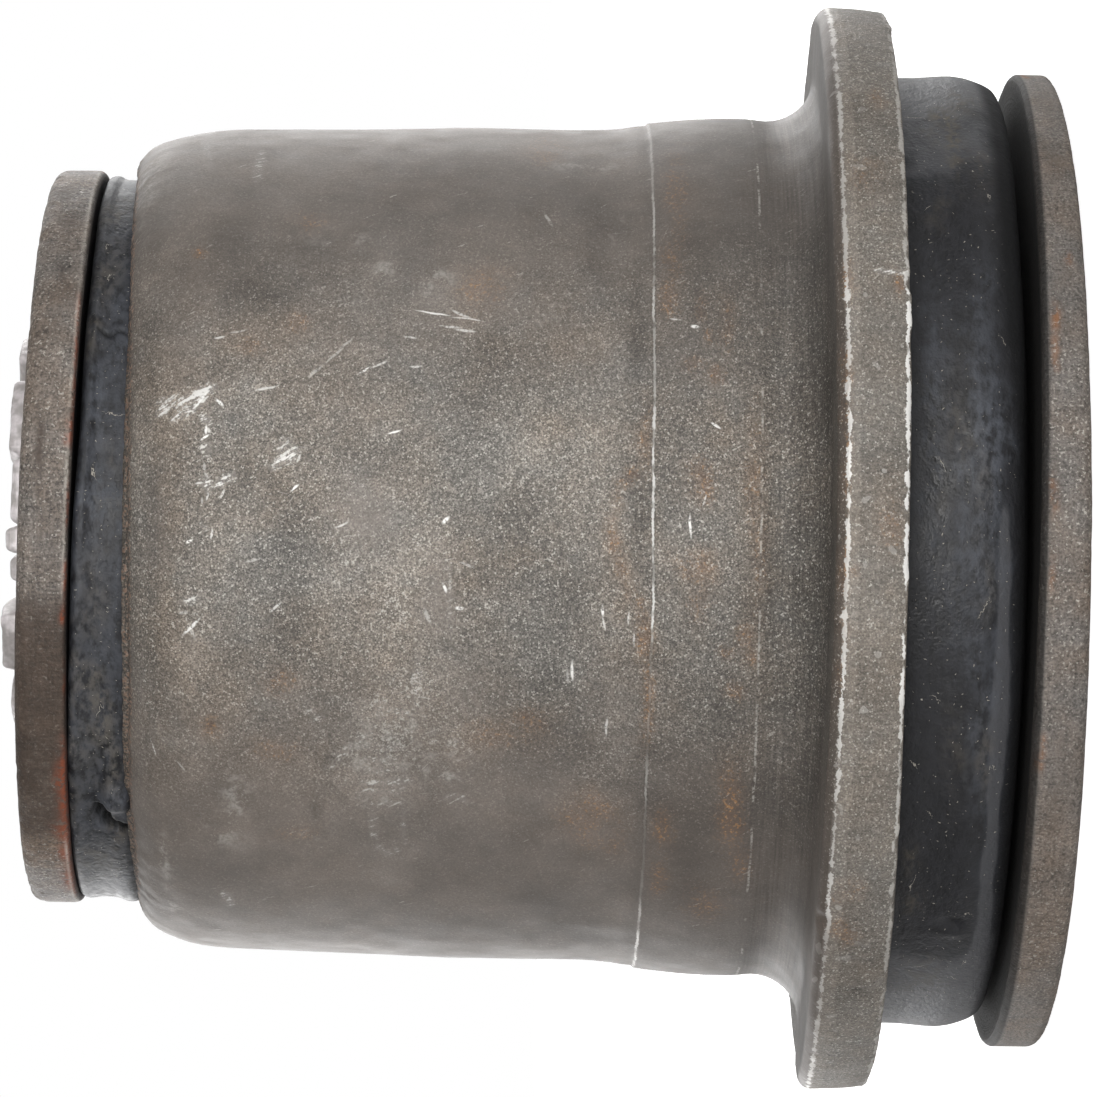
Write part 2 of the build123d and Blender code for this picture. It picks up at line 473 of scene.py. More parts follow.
    def surface(self, colour, rough, metallic=0.0, normal=None, **fixed):
        p = self.node("ShaderNodeBsdfPrincipled")
        self.put(p.inputs["Base Color"], colour)
        self.put(p.inputs["Roughness"], rough)
        self.put(p.inputs["Metallic"], metallic)
        self.put(p.inputs["Normal"], normal)
        for k, v in fixed.items():
            p.inputs[k.replace("_", " ")].default_value = v
        out = self.node("ShaderNodeOutputMaterial")
        self.t.links.new(p.outputs[0], out.inputs[0])
        return self.mat


# ------------------------------------------------------------------ where the marks are
STROKES = [
    (17.3, 51.14, 19.8, 49.86, 0.23, 1.00),
    (18.3, 49.55, 17.6, 49.25, 0.23, 0.90),
    (14.9, 50.19, 13.7, 50.12, 0.20, 0.95),
    (14.5, 50.07, 14.0, 49.95, 0.23, 0.80),
    (12.9, 50.45, 13.6, 49.94, 0.17, 0.90),
    (10.0, 50.30, 8.9, 50.17, 0.17, 0.45),
    (8.7, 50.11, 8.0, 50.05, 0.15, 0.45),
    (5.8, 50.02, 5.0, 50.07, 0.14, 0.72),
    (5.2, 50.36, 4.6, 50.24, 0.13, 0.45),
    (7.1, 50.72, 7.2, 50.27, 0.17, 0.70),
    (5.2, 49.33, 6.4, 49.11, 0.17, 0.80),
    (10.0, 44.94, 10.9, 44.77, 0.17, 0.60),
    (19.5, 47.74, 20.5, 45.98, 0.17, 0.60),
    (27.2, 49.93, 27.6, 49.36, 0.17, 0.60),
    (27.9, 49.07, 28.5, 47.99, 0.13, 0.50),
    (23.2, 43.67, 27.8, 41.78, 0.17, 0.50),
    (21.5, 44.33, 23.5, 43.67, 0.23, 0.40),
    (22.3, 41.65, 23.0, 40.91, 0.17, 0.90),
    (23.0, 40.91, 23.9, 39.89, 0.17, 0.80),
    (31.6, 38.37, 30.6, 36.29, 0.15, 0.90),
    (30.5, 36.40, 29.7, 34.33, 0.13, 0.80),
    (31.6, 36.30, 30.2, 35.14, 0.23, 0.60),
    (29.2, 36.97, 28.8, 35.70, 0.15, 0.60),
    (28.7, 36.10, 28.1, 34.89, 0.17, 0.60),
    (23.3, 38.63, 23.1, 37.94, 0.17, 0.80),
    (14.1, 39.73, 14.6, 39.05, 0.15, 1.00),
    (27.3, 39.07, 27.3, 38.33, 0.15, 0.80),
    (6.4, 45.24, 7.0, 44.79, 0.17, 0.90),
    (-13.2, 51.18, -10.2, 50.38, 0.23, 0.90),
    (-9.8, 51.59, -9.5, 50.90, 0.23, 0.50),
    (-11.5, 51.01, -13.4, 50.55, 0.23, 0.40),
    (1.3, 49.81, -0.2, 49.69, 0.15, 0.80),
    (-0.7, 51.11, -0.3, 50.83, 0.20, 0.90),
    (-9.4, 46.39, -8.1, 45.71, 0.17, 0.60),
    (-3.1, 47.84, -2.4, 46.94, 0.23, 0.40),
    (1.5, 42.64, 2.5, 41.96, 0.13, 0.70),
    (2.4, 36.56, 3.2, 36.22, 0.26, 1.00),
    (-5.3, 36.50, -6.4, 36.33, 0.17, 0.90),
    (-8.4, 35.80, -8.5, 35.46, 0.23, 0.90),
    (-2.8, 35.56, -3.0, 34.76, 0.17, 0.50),
    (-7.7, 27.50, -9.3, 27.38, 0.21, 1.00),
    (-9.4, 27.43, -10.9, 27.30, 0.14, 0.80),
    (-8.4, 25.90, -10.2, 25.83, 0.15, 0.80),
    (-10.9, 25.71, -13.0, 25.58, 0.12, 0.60),
    (-15.1, 29.15, -17.8, 29.01, 0.21, 0.90),
    (-16.1, 29.43, -18.3, 29.29, 0.17, 0.40),
    (-22.5, 27.08, -25.4, 27.06, 0.17, 0.80),
    (4.0, 22.49, 0.9, 22.59, 0.15, 1.00),
    (6.3, 21.55, 4.9, 21.82, 0.12, 0.60),
    (49.4, 30.96, 46.6, 30.66, 0.23, 0.50),
    (29.9, 23.71, 29.8, 23.02, 0.12, 0.70),
    (28.7, 22.40, 28.6, 22.22, 0.23, 1.00),
    (15.4, 21.42, 14.9, 20.90, 0.15, 0.90),
    (-28.6, 53.92, -30.9, 53.41, 0.13, 0.70),
    (-30.8, 51.89, -32.6, 51.20, 0.14, 0.50),
    (-8.5, 37.56, -10.5, 37.15, 0.23, 0.50),
]
SCUFFS = [
    (16.6, 53.45, 17.9, 52.42, 0.35, 0.90),
    (18.1, 53.07, 19.0, 51.86, 0.29, 0.70),
    (15.6, 52.39, 17.0, 51.25, 0.29, 0.90),
    (17.6, 51.95, 19.2, 50.71, 0.35, 1.00),
    (16.6, 51.36, 18.5, 50.24, 0.29, 0.90),
    (18.6, 50.82, 20.3, 49.87, 0.35, 1.00),
    (18.1, 53.53, 18.9, 52.90, 0.28, 0.60),
    (15.7, 52.16, 17.7, 50.80, 0.29, 0.90),
    (19.0, 50.82, 20.2, 50.04, 0.29, 0.60),
    (16.2, 50.38, 15.1, 50.13, 0.29, 0.80),
    (12.4, 50.27, 11.0, 50.02, 0.41, 0.50),
    (7.9, 50.16, 6.3, 49.91, 0.35, 0.70),
    (6.8, 49.52, 8.5, 48.62, 0.29, 0.90),
    (7.4, 48.84, 7.9, 48.45, 0.29, 0.50),
    (9.3, 46.41, 11.7, 44.84, 0.35, 0.85),
    (11.4, 46.15, 13.0, 45.37, 0.47, 0.40),
    (-8.4, 51.19, -7.8, 50.62, 0.35, 0.60),
    (1.8, 50.27, 1.1, 50.04, 0.29, 0.50),
    (-55.7, 49.16, -59.9, 48.93, 0.29, 0.60),
    (56.6, 48.10, 66.9, 47.97, 0.52, 0.35),
    (75.6, 51.68, 59.9, 50.84, 0.47, 0.25),
    (-37.1, 40.35, -43.8, 40.31, 0.29, 0.39),
    (-43.8, 40.31, -46.3, 39.56, 0.29, 0.39),
    (-46.3, 39.56, -44.5, 38.74, 0.29, 0.31),
    (-36.9, 38.62, -43.9, 38.56, 0.29, 0.31),
    (-29.8, 40.81, -29.3, 38.74, 0.27, 0.36),
    (-31.6, 40.98, -31.1, 38.62, 0.27, 0.39),
    (-33.4, 41.16, -32.8, 38.22, 0.28, 0.52),
    (-34.7, 41.04, -34.3, 38.73, 0.27, 0.44),
    (-36.8, 40.82, -36.4, 38.33, 0.27, 0.36),
    (-35.9, 41.62, -35.6, 40.47, 0.27, 0.29),
    (-28.2, 40.47, -27.7, 38.28, 0.27, 0.26),
    (-26.7, 39.78, -26.2, 38.06, 0.27, 0.23),
    (-30.9, 42.88, -27.6, 41.61, 0.29, 0.39),
    (-27.6, 41.61, -24.1, 40.24, 0.29, 0.36),
    (-24.1, 40.24, -20.9, 39.79, 0.29, 0.42),
    (-22.2, 39.79, -22.8, 38.12, 0.28, 0.42),
    (-22.5, 38.01, -16.4, 37.69, 0.29, 0.42),
    (-35.8, 36.36, -34.6, 35.67, 0.28, 0.44),
    (-34.6, 35.67, -36.2, 34.80, 0.28, 0.44),
    (-34.7, 42.43, -32.3, 41.85, 0.29, 0.26),
    (-24.3, 44.02, -23.4, 43.11, 0.29, 0.26),
    (-22.1, 44.60, -23.5, 43.68, 0.28, 0.26),
    (-36.5, 44.17, -41.7, 43.97, 0.29, 0.18),
    (-31.5, 43.46, -30.2, 42.19, 0.28, 0.31),
    (-29.6, 35.98, -28.1, 34.49, 0.29, 0.26),
    (-27.1, 36.33, -26.3, 34.96, 0.29, 0.23),
    (-2.3, 36.30, -12.6, 35.95, 0.35, 0.28),
    (-12.7, 37.88, -20.8, 38.02, 0.35, 0.30),
]
RUST = [
    (41.6, 51.15, 0.47, 0.35, 0.90),
    (47.3, 44.62, 1.04, 0.94, 0.35),
    (26.1, 47.72, 0.59, 0.94, 0.35),
    (30.0, 45.08, 0.82, 0.82, 0.35),
    (35.7, 34.72, 1.74, 1.41, 0.45),
    (53.4, 23.16, 5.42, 0.65, 0.30),
    (39.2, 23.64, 2.28, 0.53, 0.40),
    (33.0, 23.82, 1.40, 0.53, 0.50),
    (31.8, 21.99, 0.83, 0.35, 0.55),
    (27.5, 21.65, 0.60, 0.35, 0.55),
    (28.1, 20.51, 2.00, 0.41, 0.35),
    (21.9, 21.09, 0.57, 0.41, 0.60),
    (23.6, 22.40, 0.45, 0.47, 0.35),
    (8.5, 21.79, 1.31, 0.71, 0.50),
    (-2.8, 22.11, 0.88, 1.00, 0.60),
    (-6.7, 21.90, 1.18, 0.82, 0.35),
    (-13.1, 20.31, 0.60, 0.41, 0.55),
    (-11.2, 19.25, 0.72, 0.53, 0.45),
    (-13.7, 18.88, 0.54, 0.35, 0.50),
    (-18.0, 19.73, 0.56, 0.47, 0.60),
    (13.6, 25.14, 2.06, 0.41, 0.50),
    (11.6, 25.19, 0.60, 0.35, 0.50),
    (9.1, 25.86, 0.48, 0.47, 0.45),
    (7.8, 26.31, 0.48, 0.47, 0.45),
    (5.8, 26.69, 0.71, 0.41, 0.40),
    (2.9, 27.02, 0.82, 0.35, 0.60),
    (-0.0, 26.82, 0.82, 0.41, 0.70),
    (-3.2, 26.34, 0.71, 0.47, 0.40),
    (-5.7, 25.76, 0.59, 0.47, 0.45),
    (-7.4, 25.23, 0.47, 0.47, 0.50),
    (-11.1, 24.97, 1.56, 0.47, 0.75),
    (-20.2, 24.71, 2.88, 0.35, 0.50),
    (-23.9, 31.36, 0.84, 0.82, 0.65),
    (-25.9, 33.13, 1.05, 2.00, 0.35),
    (-37.9, 27.85, 1.79, 1.41, 0.60),
    (-41.4, 26.25, 1.25, 0.71, 0.40),
    (-35.9, 19.69, 2.90, 0.71, 0.75),
    (-44.0, 19.02, 1.80, 0.59, 0.50),
    (-39.9, 23.61, 1.84, 0.59, 0.50),
    (-48.6, 23.66, 1.96, 0.53, 0.45),
    (-53.1, 20.95, 1.76, 1.06, 0.40),
    (-42.2, 44.67, 0.64, 1.18, 0.30),
    (-18.5, 45.91, 0.87, 1.18, 0.35),
    (-25.2, 49.65, 0.78, 0.41, 0.60),
    (-28.6, 46.04, 0.80, 1.53, 0.35),
    (67.5, 31.05, 3.07, 1.18, 0.25),
    (-1.6, 18.55, 3.53, 0.47, 0.25),
    (9.6, 18.90, 3.58, 0.53, 0.35),
]
PALE = [
    (38.7, 40.36, 0.75, 1.00, 0.45),
    (36.6, 37.21, 0.73, 0.88, 0.55),
    (34.8, 43.95, 0.57, 0.82, 0.35),
    (33.2, 42.48, 0.84, 1.06, 0.35),
    (10.9, 50.19, 3.12, 0.65, 0.40),
    (-10.8, 50.61, 1.56, 1.18, 0.45),
    (-11.1, 53.21, 1.20, 0.82, 0.30),
    (19.1, 43.73, 0.87, 1.06, 0.30),
    (18.4, 44.86, 0.74, 1.76, 0.25),
    (43.7, 41.76, 0.81, 0.59, 0.30),
    (-19.4, 38.31, 1.87, 1.41, 0.55),
    (-21.5, 40.30, 0.89, 0.82, 0.55),
    (-29.8, 41.62, 0.81, 1.53, 0.45),
    (-28.7, 37.71, 0.94, 0.82, 0.40),
    (-26.9, 38.97, 2.24, 2.59, 0.60),
    (-28.0, 41.16, 1.20, 1.41, 0.45),
    (-30.9, 37.12, 0.69, 1.18, 0.40),
    (-26.8, 35.70, 1.05, 1.41, 0.60),
    (-31.8, 36.26, 0.48, 0.94, 0.60),
    (-36.0, 39.54, 0.73, 1.41, 0.35),
    (-37.7, 48.41, 3.27, 0.82, 0.40),
    (-42.7, 49.04, 1.28, 1.29, 0.40),
    (-42.5, 44.09, 0.48, 0.94, 0.45),
    (-21.7, 50.04, 0.89, 1.76, 0.30),
    (-22.1, 46.89, 0.63, 1.76, 0.30),
    (-21.2, 43.45, 0.63, 1.18, 0.30),
    (-2.5, 42.10, 2.94, 2.00, 0.30),
    (-7.5, 38.94, 3.56, 1.76, 0.45),
    (0.2, 37.28, 2.35, 1.76, 0.30),
    (9.5, 30.53, 3.58, 4.12, 0.22),
    (13.4, 30.27, 1.81, 3.53, 0.20),
    (-2.1, 32.15, 0.47, 1.06, 0.35),
    (-1.9, 30.33, 0.53, 1.18, 0.45),
    (13.5, 27.71, 3.63, 1.18, 0.20),
    (-26.7, 52.67, 1.05, 0.82, 0.35),
    (-50.1, 53.15, 2.75, 0.59, 0.60),
    (-62.3, 52.63, 1.27, 0.82, 0.35),
    (-1.9, 27.60, 2.35, 1.18, 0.15),
    (61.4, 28.79, 0.98, 2.35, 0.30),
    (63.4, 54.58, 5.25, 1.18, 0.30),
    (31.9, 30.08, 0.97, 0.94, 0.30),
    (28.8, 30.93, 2.01, 1.18, 0.25),
    (25.9, 28.34, 0.65, 1.53, 0.35),
    (45.1, 26.63, 1.50, 0.59, 0.30),
    (35.6, 37.89, 0.58, 0.47, 0.50),
    (43.7, 44.09, 2.44, 1.53, 0.15),
    (9.4, 33.37, 3.58, 3.53, 0.15),
]
SMOOTH = [
    (3.1, 41.06, 2.95, 2.00, 0.70),
    (33.2, 45.08, 0.98, 3.53, 0.35),
    (33.6, 34.13, 1.69, 1.53, 0.90),
    (-7.4, 36.66, 3.56, 1.18, 0.60),
    (-20.6, 34.87, 3.14, 3.53, 0.50),
    (-42.3, 29.55, 4.77, 5.29, 0.60),
    (-47.7, 44.71, 4.37, 7.06, 0.90),
    (-30.5, 49.80, 4.10, 2.35, 0.50),
    (54.6, 40.75, 4.07, 11.76, 0.80),
    (30.3, 51.95, 6.13, 2.35, 0.60),
    (-47.8, 21.33, 5.26, 3.53, 0.50),
    (2.3, 53.28, 4.71, 1.06, 0.50),
    (57.2, 33.70, 4.34, 5.88, 0.70),
    (55.5, 21.92, 6.23, 3.53, 0.60),
    (-21.3, 45.74, 1.89, 3.53, 0.40),
    (-38.1, 42.90, 5.98, 7.06, 0.55),
    (-33.9, 34.23, 5.67, 5.88, 0.60),
    (-38.6, 27.27, 6.77, 4.12, 0.50),
    (-46.4, 34.19, 5.12, 7.06, 0.50),
]
DARK = [
    (-0.7, 44.79, 3.18, 1.76, 0.60),
    (-2.7, 46.37, 1.77, 1.41, 0.30),
    (-10.4, 44.62, 2.39, 1.76, 0.40),
    (5.5, 32.78, 1.77, 2.35, 0.30),
    (-5.8, 28.71, 2.37, 2.94, 0.30),
    (43.8, 49.33, 3.26, 1.76, 0.35),
    (34.8, 46.26, 2.87, 3.53, 0.35),
    (50.2, 27.80, 3.68, 4.71, 0.30),
    (-17.7, 30.90, 3.09, 3.53, 0.20),
    (22.8, 34.62, 1.91, 3.53, 0.30),
    (3.2, 25.37, 5.30, 0.82, 0.45),
    (29.0, 25.70, 6.05, 0.47, 0.35),
    (32.7, 18.60, 13.98, 1.76, 0.25),
    (5.9, 16.89, 14.79, 1.76, 0.35),
    (5.8, 15.24, 22.47, 0.82, 0.50),
    (-29.9, 42.88, 0.95, 0.82, 0.35),
    (-38.5, 43.78, 1.20, 0.53, 0.60),
    (-24.8, 49.65, 0.58, 0.29, 0.70),
    (-3.1, 53.82, 11.78, 0.71, 0.30),
]
TONE = [
    (27.0, 44.98, 3.04, 3.76, -0.30),
    (26.5, 32.35, 2.63, 4.71, -0.14),
    (18.6, 23.64, 6.83, 1.53, -0.16),
    (-19.3, 20.06, 6.86, 1.76, -0.30),
    (-38.7, 29.58, 4.52, 5.29, -0.10),
    (-2.5, 42.10, 3.53, 2.59, 0.55),
    (-3.7, 38.96, 4.13, 1.53, 0.75),
    (-13.4, 39.48, 3.02, 1.53, 0.60),
    (-23.8, 40.30, 2.57, 2.00, 0.75),
    (-31.6, 40.00, 2.49, 2.35, 0.80),
    (-45.5, 43.23, 3.86, 2.24, 0.45),
    (-49.6, 39.16, 3.26, 1.41, 0.50),
    (-2.3, 37.26, 3.53, 1.18, 0.50),
    (-2.8, 48.93, 2.94, 2.12, 0.40),
    (-14.1, 50.78, 2.43, 1.41, 0.60),
    (-42.6, 48.46, 2.08, 1.06, 0.60),
    (-31.5, 50.67, 2.07, 1.06, 0.50),
    (-21.5, 47.75, 1.64, 1.41, 0.35),
    (39.6, 40.55, 2.60, 1.06, 0.45),
    (34.7, 37.02, 1.72, 2.12, 0.50),
    (30.1, 35.25, 0.68, 0.94, 0.40),
    (17.1, 51.71, 1.23, 1.76, 0.12),
    (11.0, 45.63, 1.20, 1.18, 0.50),
    (7.3, 49.58, 0.83, 0.82, 0.35),
    (14.7, 31.42, 1.82, 2.12, 0.40),
    (-16.6, 29.08, 0.86, 0.71, 0.50),
    (-7.1, 27.56, 2.37, 0.94, 0.30),
    (35.0, 32.41, 4.31, 1.76, 0.20),
    (44.2, 25.47, 4.92, 1.76, 0.20),
    (19.8, 47.74, 1.00, 1.76, 0.30),
    (25.6, 42.38, 0.78, 2.35, 0.30),
    (13.5, 27.71, 2.42, 1.41, 0.30),
    (63.4, 54.58, 5.25, 1.18, 0.30),
    (-26.3, 35.99, 1.97, 1.76, 0.25),
    (54.8, 29.85, 2.04, 3.53, 0.15),
    (36.5, 48.60, 2.93, 3.53, -0.55),
    (44.7, 45.27, 2.48, 4.12, -0.35),
    (-13.1, 45.18, 3.62, 1.65, -0.45),
    (-21.2, 44.02, 1.26, 1.18, -0.20),
    (18.6, 34.58, 1.86, 2.35, -0.35),
    (3.0, 32.19, 2.95, 2.35, -0.25),
    (-26.1, 29.69, 3.93, 3.53, -0.30),
    (-46.5, 35.94, 4.28, 3.53, -0.25),
    (24.6, 25.47, 3.88, 0.71, -0.30),
    (2.0, 25.36, 5.30, 0.71, -0.35),
    (41.0, 22.02, 4.68, 2.35, -0.30),
    (42.2, 27.22, 3.17, 2.35, -0.20),
    (-31.2, 23.90, 6.19, 3.53, -0.35),
    (-52.1, 21.26, 5.75, 2.94, -0.55),
    (-64.2, 29.39, 4.05, 5.29, -0.35),
    (-63.8, 38.93, 2.67, 7.06, -0.25),
    (-33.5, 18.69, 8.46, 1.53, -0.35),
    (7.7, 47.59, 1.78, 1.18, -0.30),
    (29.4, 53.68, 4.05, 0.94, -0.30),
    (7.7, 53.33, 4.75, 0.82, -0.30),
    (33.4, 51.44, 3.10, 2.59, -0.35),
    (22.4, 50.88, 1.65, 2.35, -0.45),
    (9.6, 50.69, 2.62, 3.53, -0.22),
    (-0.9, 51.51, 2.35, 2.59, -0.22),
    (11.2, 39.08, 1.80, 3.53, -0.30),
    (-44.1, 21.98, 9.01, 2.59, -0.75),
    (-20.8, 37.73, 1.89, 1.76, 0.30),
    (64.3, 21.83, 2.72, 3.53, -0.40),
]
WARM = [
    (-47.2, 53.16, 2.08, 0.82, 0.90),
    (2.3, 52.69, 17.66, 1.18, 0.55),
    (-21.6, 49.41, 3.80, 2.35, 0.70),
    (-33.5, 47.51, 4.23, 3.53, 0.45),
    (28.3, 47.30, 0.94, 2.35, 0.60),
    (26.2, 48.99, 0.79, 1.18, 0.50),
    (27.1, 28.23, 1.45, 2.00, 0.60),
    (37.2, 34.04, 1.48, 1.41, 0.60),
    (31.9, 30.08, 1.39, 1.18, 0.40),
    (13.4, 25.03, 2.18, 0.59, 0.50),
    (1.9, 26.84, 2.12, 0.53, 0.60),
    (-5.7, 26.15, 1.77, 0.53, 0.60),
    (-10.9, 24.86, 1.56, 0.53, 0.60),
    (-3.4, 21.82, 1.06, 1.06, 0.90),
    (14.6, 21.30, 1.58, 1.06, 0.70),
    (31.2, 20.68, 2.06, 0.82, 0.60),
    (53.0, 21.94, 4.89, 1.53, 0.50),
    (-36.2, 19.80, 3.21, 0.71, 0.90),
    (-38.1, 27.74, 1.94, 1.65, 0.90),
    (-24.6, 31.36, 1.29, 1.53, 0.60),
    (-27.9, 34.49, 1.07, 2.12, 0.50),
    (-44.0, 26.05, 1.64, 1.76, 0.50),
    (-48.4, 23.08, 3.55, 1.41, 0.50),
    (-66.4, 21.01, 2.64, 1.76, 0.60),
    (-2.1, 32.15, 0.59, 1.76, 0.40),
    (-20.9, 38.87, 1.89, 3.53, 0.30),
    (-9.0, 42.91, 2.38, 2.94, 0.25),
    (5.8, 18.88, 17.74, 1.18, 0.40),
    (-44.1, 21.98, 9.01, 2.59, 0.50),
    (28.7, 51.92, 8.05, 3.53, 0.40),
    (-3.9, 44.65, 2.36, 3.53, -0.40),
    (13.3, 34.54, 3.02, 3.53, -0.50),
    (-13.7, 29.79, 3.63, 3.53, -0.30),
    (40.0, 45.19, 2.30, 3.53, -0.30),
    (21.7, 26.60, 2.53, 2.94, -0.30),
    (21.3, 38.03, 2.53, 3.53, -0.40),
    (28.6, 50.76, 2.01, 2.35, -0.30),
]

RUST_RIM = [
    (15.5, 14.3, 2.6, 0.35, 0.8), (28.0, 14.2, 1.6, 0.4, 0.5), (8.0, 14.3, 2.2, 0.3, 0.6), (-4.0, 14.3, 3.0, 0.35, 0.7),
    (-12.0, 14.3, 1.2, 0.3, 0.5), (-40.5, 13.4, 1.1, 0.8, 0.6), (-36.0, 13.3, 1.2, 0.7, 0.45), (27.0, 11.2, 0.9, 0.35, 0.7),
    (40.0, 12.9, 1.4, 1.2, 0.3), (2.0, 11.6, 1.8, 0.7, 0.3), (-2.0, 13.6, 0.5, 0.3, 0.5), (52.0, 11.8, 1.0, 0.5, 0.4),
]


SCUFFS_RIM = [(28.3, 10.72, 27.9, 12.5, 0.17, 0.95), (-150.0, 11.2, -149.5, 12.9, 0.17, 0.8), (112.0, 10.9, 112.6, 12.2, 0.17, 0.7)]

# strength of the worn lines round the part, bare metal with painted highlight where they catch the light: angle,
# strength
STEP_AT, STEP_K = zip((-180, 0.3), (-150, 0.6), (-120, 0.25), (-90, 0.2), (-68, 0.45), (-64, 0.5), (-60, 0.15), (-56, 0.45), (-53, 0.15), (-46, 0.12), (-36, 0.15), (-33, 0.55), (-30, 0.45), (-27, 0.1), (-22, 0.22), (-15.8, 0.28), (-13, 0.42), (-10.5, 0.95),
                      (0, 1.0), (14, 1.0), (20, 0.6), (30, 0.5), (33, 0.75), (36, 0.4), (41, 0.45), (43, 0.85), (45, 0.45), (52, 0.45), (55, 0.2), (70, 0.1), (90, 0.2), (115, 0.7), (135, 0.35), (160, 0.8), (180, 0.3))
UPPER_AT, UPPER_K = zip((-180, 0.7), (-140, 0.4), (-100, 0.7), (-75, 0.55), (-60, 0.5), (-50, 0.6), (-42, 0.45), (-38, 0.8), (-30, 0.55), (-20, 0.7), (-10, 0.8), (-4, 0.75), (2, 0.9), (10, 0.95), (14, 0.8), (18, 0.55), (24, 0.65), (34, 0.5), (50, 0.5), (70, 0.4), (90, 0.5), (130, 0.8), (160, 0.4), (180, 0.7))
LOWER_AT, LOWER_K = zip((-180, 0.6), (-140, 0.8), (-100, 0.4), (-75, 0.3), (-50, 0.25), (-36, 0.3), (-30, 0.42), (-24, 0.4), (-15, 0.55), (-11, 0.8), (-9, 1.0), (-2, 0.9), (2, 1.0), (9, 1.0), (13, 0.9), (18, 0.7), (22, 0.85), (28, 0.5), (33, 0.3), (50, 0.25), (70, 0.2), (90, 0.3), (120, 0.7), (150, 0.4), (180, 0.6))


def both_sides(spots, low, high):
    """The same kind of marks on the far half, turned half way round and end for end between two heights."""
    return spots + [(turn(p + 180.0), low + high - z, du, dz, k) for p, z, du, dz, k in spots if low < z < high]


# ------------------------------------------------------------------ outer shell
def shell_profile():
    p = [(24.4, 10.55), (27.0, 10.55), (29.3, 10.55), (30.4, 10.55), (31.4, 10.55), (32.2, 10.55), (32.7, 10.55), (33.0, 10.555)]
    p += [(33.16, 10.575), (33.28, 10.62), (33.36, 10.70), (33.41, 10.80), (33.44, 10.92)]
    p += [(33.49, 11.2), (33.54, 11.55), (33.58, 11.95), (33.61, 12.35), (33.63, 12.75), (33.64, 13.05), (33.64, 13.25), (33.64, 13.38), (33.64, 13.5), (33.64, 13.65), (33.63, 13.78)]
    p += arc(32.78, 13.9, 0.85, 0, 90, 7)
    p += [(32.1, 14.75), (31.2, 14.75), (30.4, 14.75), (29.9, 14.75)]
    p += arc(29.38, 17.55, 2.8, 270, 180, 10)
    p += spread([(26.60, 17.9), (26.65, 18.3), (26.69, 18.8), (26.70, 20.4), (26.62, 22.0), (26.36, 24.2)], 0.42)
    p += [(26.33, 24.44), (26.32, 24.54), (26.25, 24.60), (26.20, 24.65), (26.17, 24.74), (26.15, 24.95)]
    p += spread([(26.12, 25.3), (26.00, 26.0), (25.92, 26.9), (25.88, 28.0), (25.86, 30.0), (25.86, 36.5), (25.77, 39.0), (25.67, 42.0), (25.61, 45.0), (25.55, 47.5), (25.51, 49.3), (25.44, 50.4), (25.35, 51.2), (25.20, 52.0), (25.07, 52.5)], 0.385)
    p += [(24.99, 52.8), (24.90, 53.1), (24.80, 53.4), (24.70, 53.7), (24.60, 53.95), (24.48, 54.18), (24.35, 54.4), (24.2, 54.6), (24.06, 54.76), (23.9, 54.9)]
    p += [(23.66, 55.10), (23.42, 55.25), (23.2, 55.36), (22.95, 55.43), (22.7, 55.45), (22.52, 55.38), (22.40, 55.24), (22.35, 55.05)]
    p += [(22.35, 53.4), (22.57, 53.1), (22.68, 52.9), (22.8, 52.2), (22.8, 40.0), (22.8, 26.0), (22.8, 12.15), (23.27, 11.02)]
    return p


# the seating face of the flange isn't quite flat: angle, height over 14.75
SEAT_AT, SEAT_UP = zip((-180, -0.45), (-125, -0.42), (-108, -0.38), (-95, -0.26), (-85, -0.05), (-75, 0.12), (-60, 0.21), (-49, 0.24), (-38, 0.2), (-24, 0.07), (-11, -0.03), (0, -0.1), (12, -0.15), (22, -0.1), (33, 0.02), (50, 0.02), (62, 0.05), (75, -0.05), (85, -0.12), (94, -0.2), (104, -0.35), (115, -0.45), (180, -0.45))


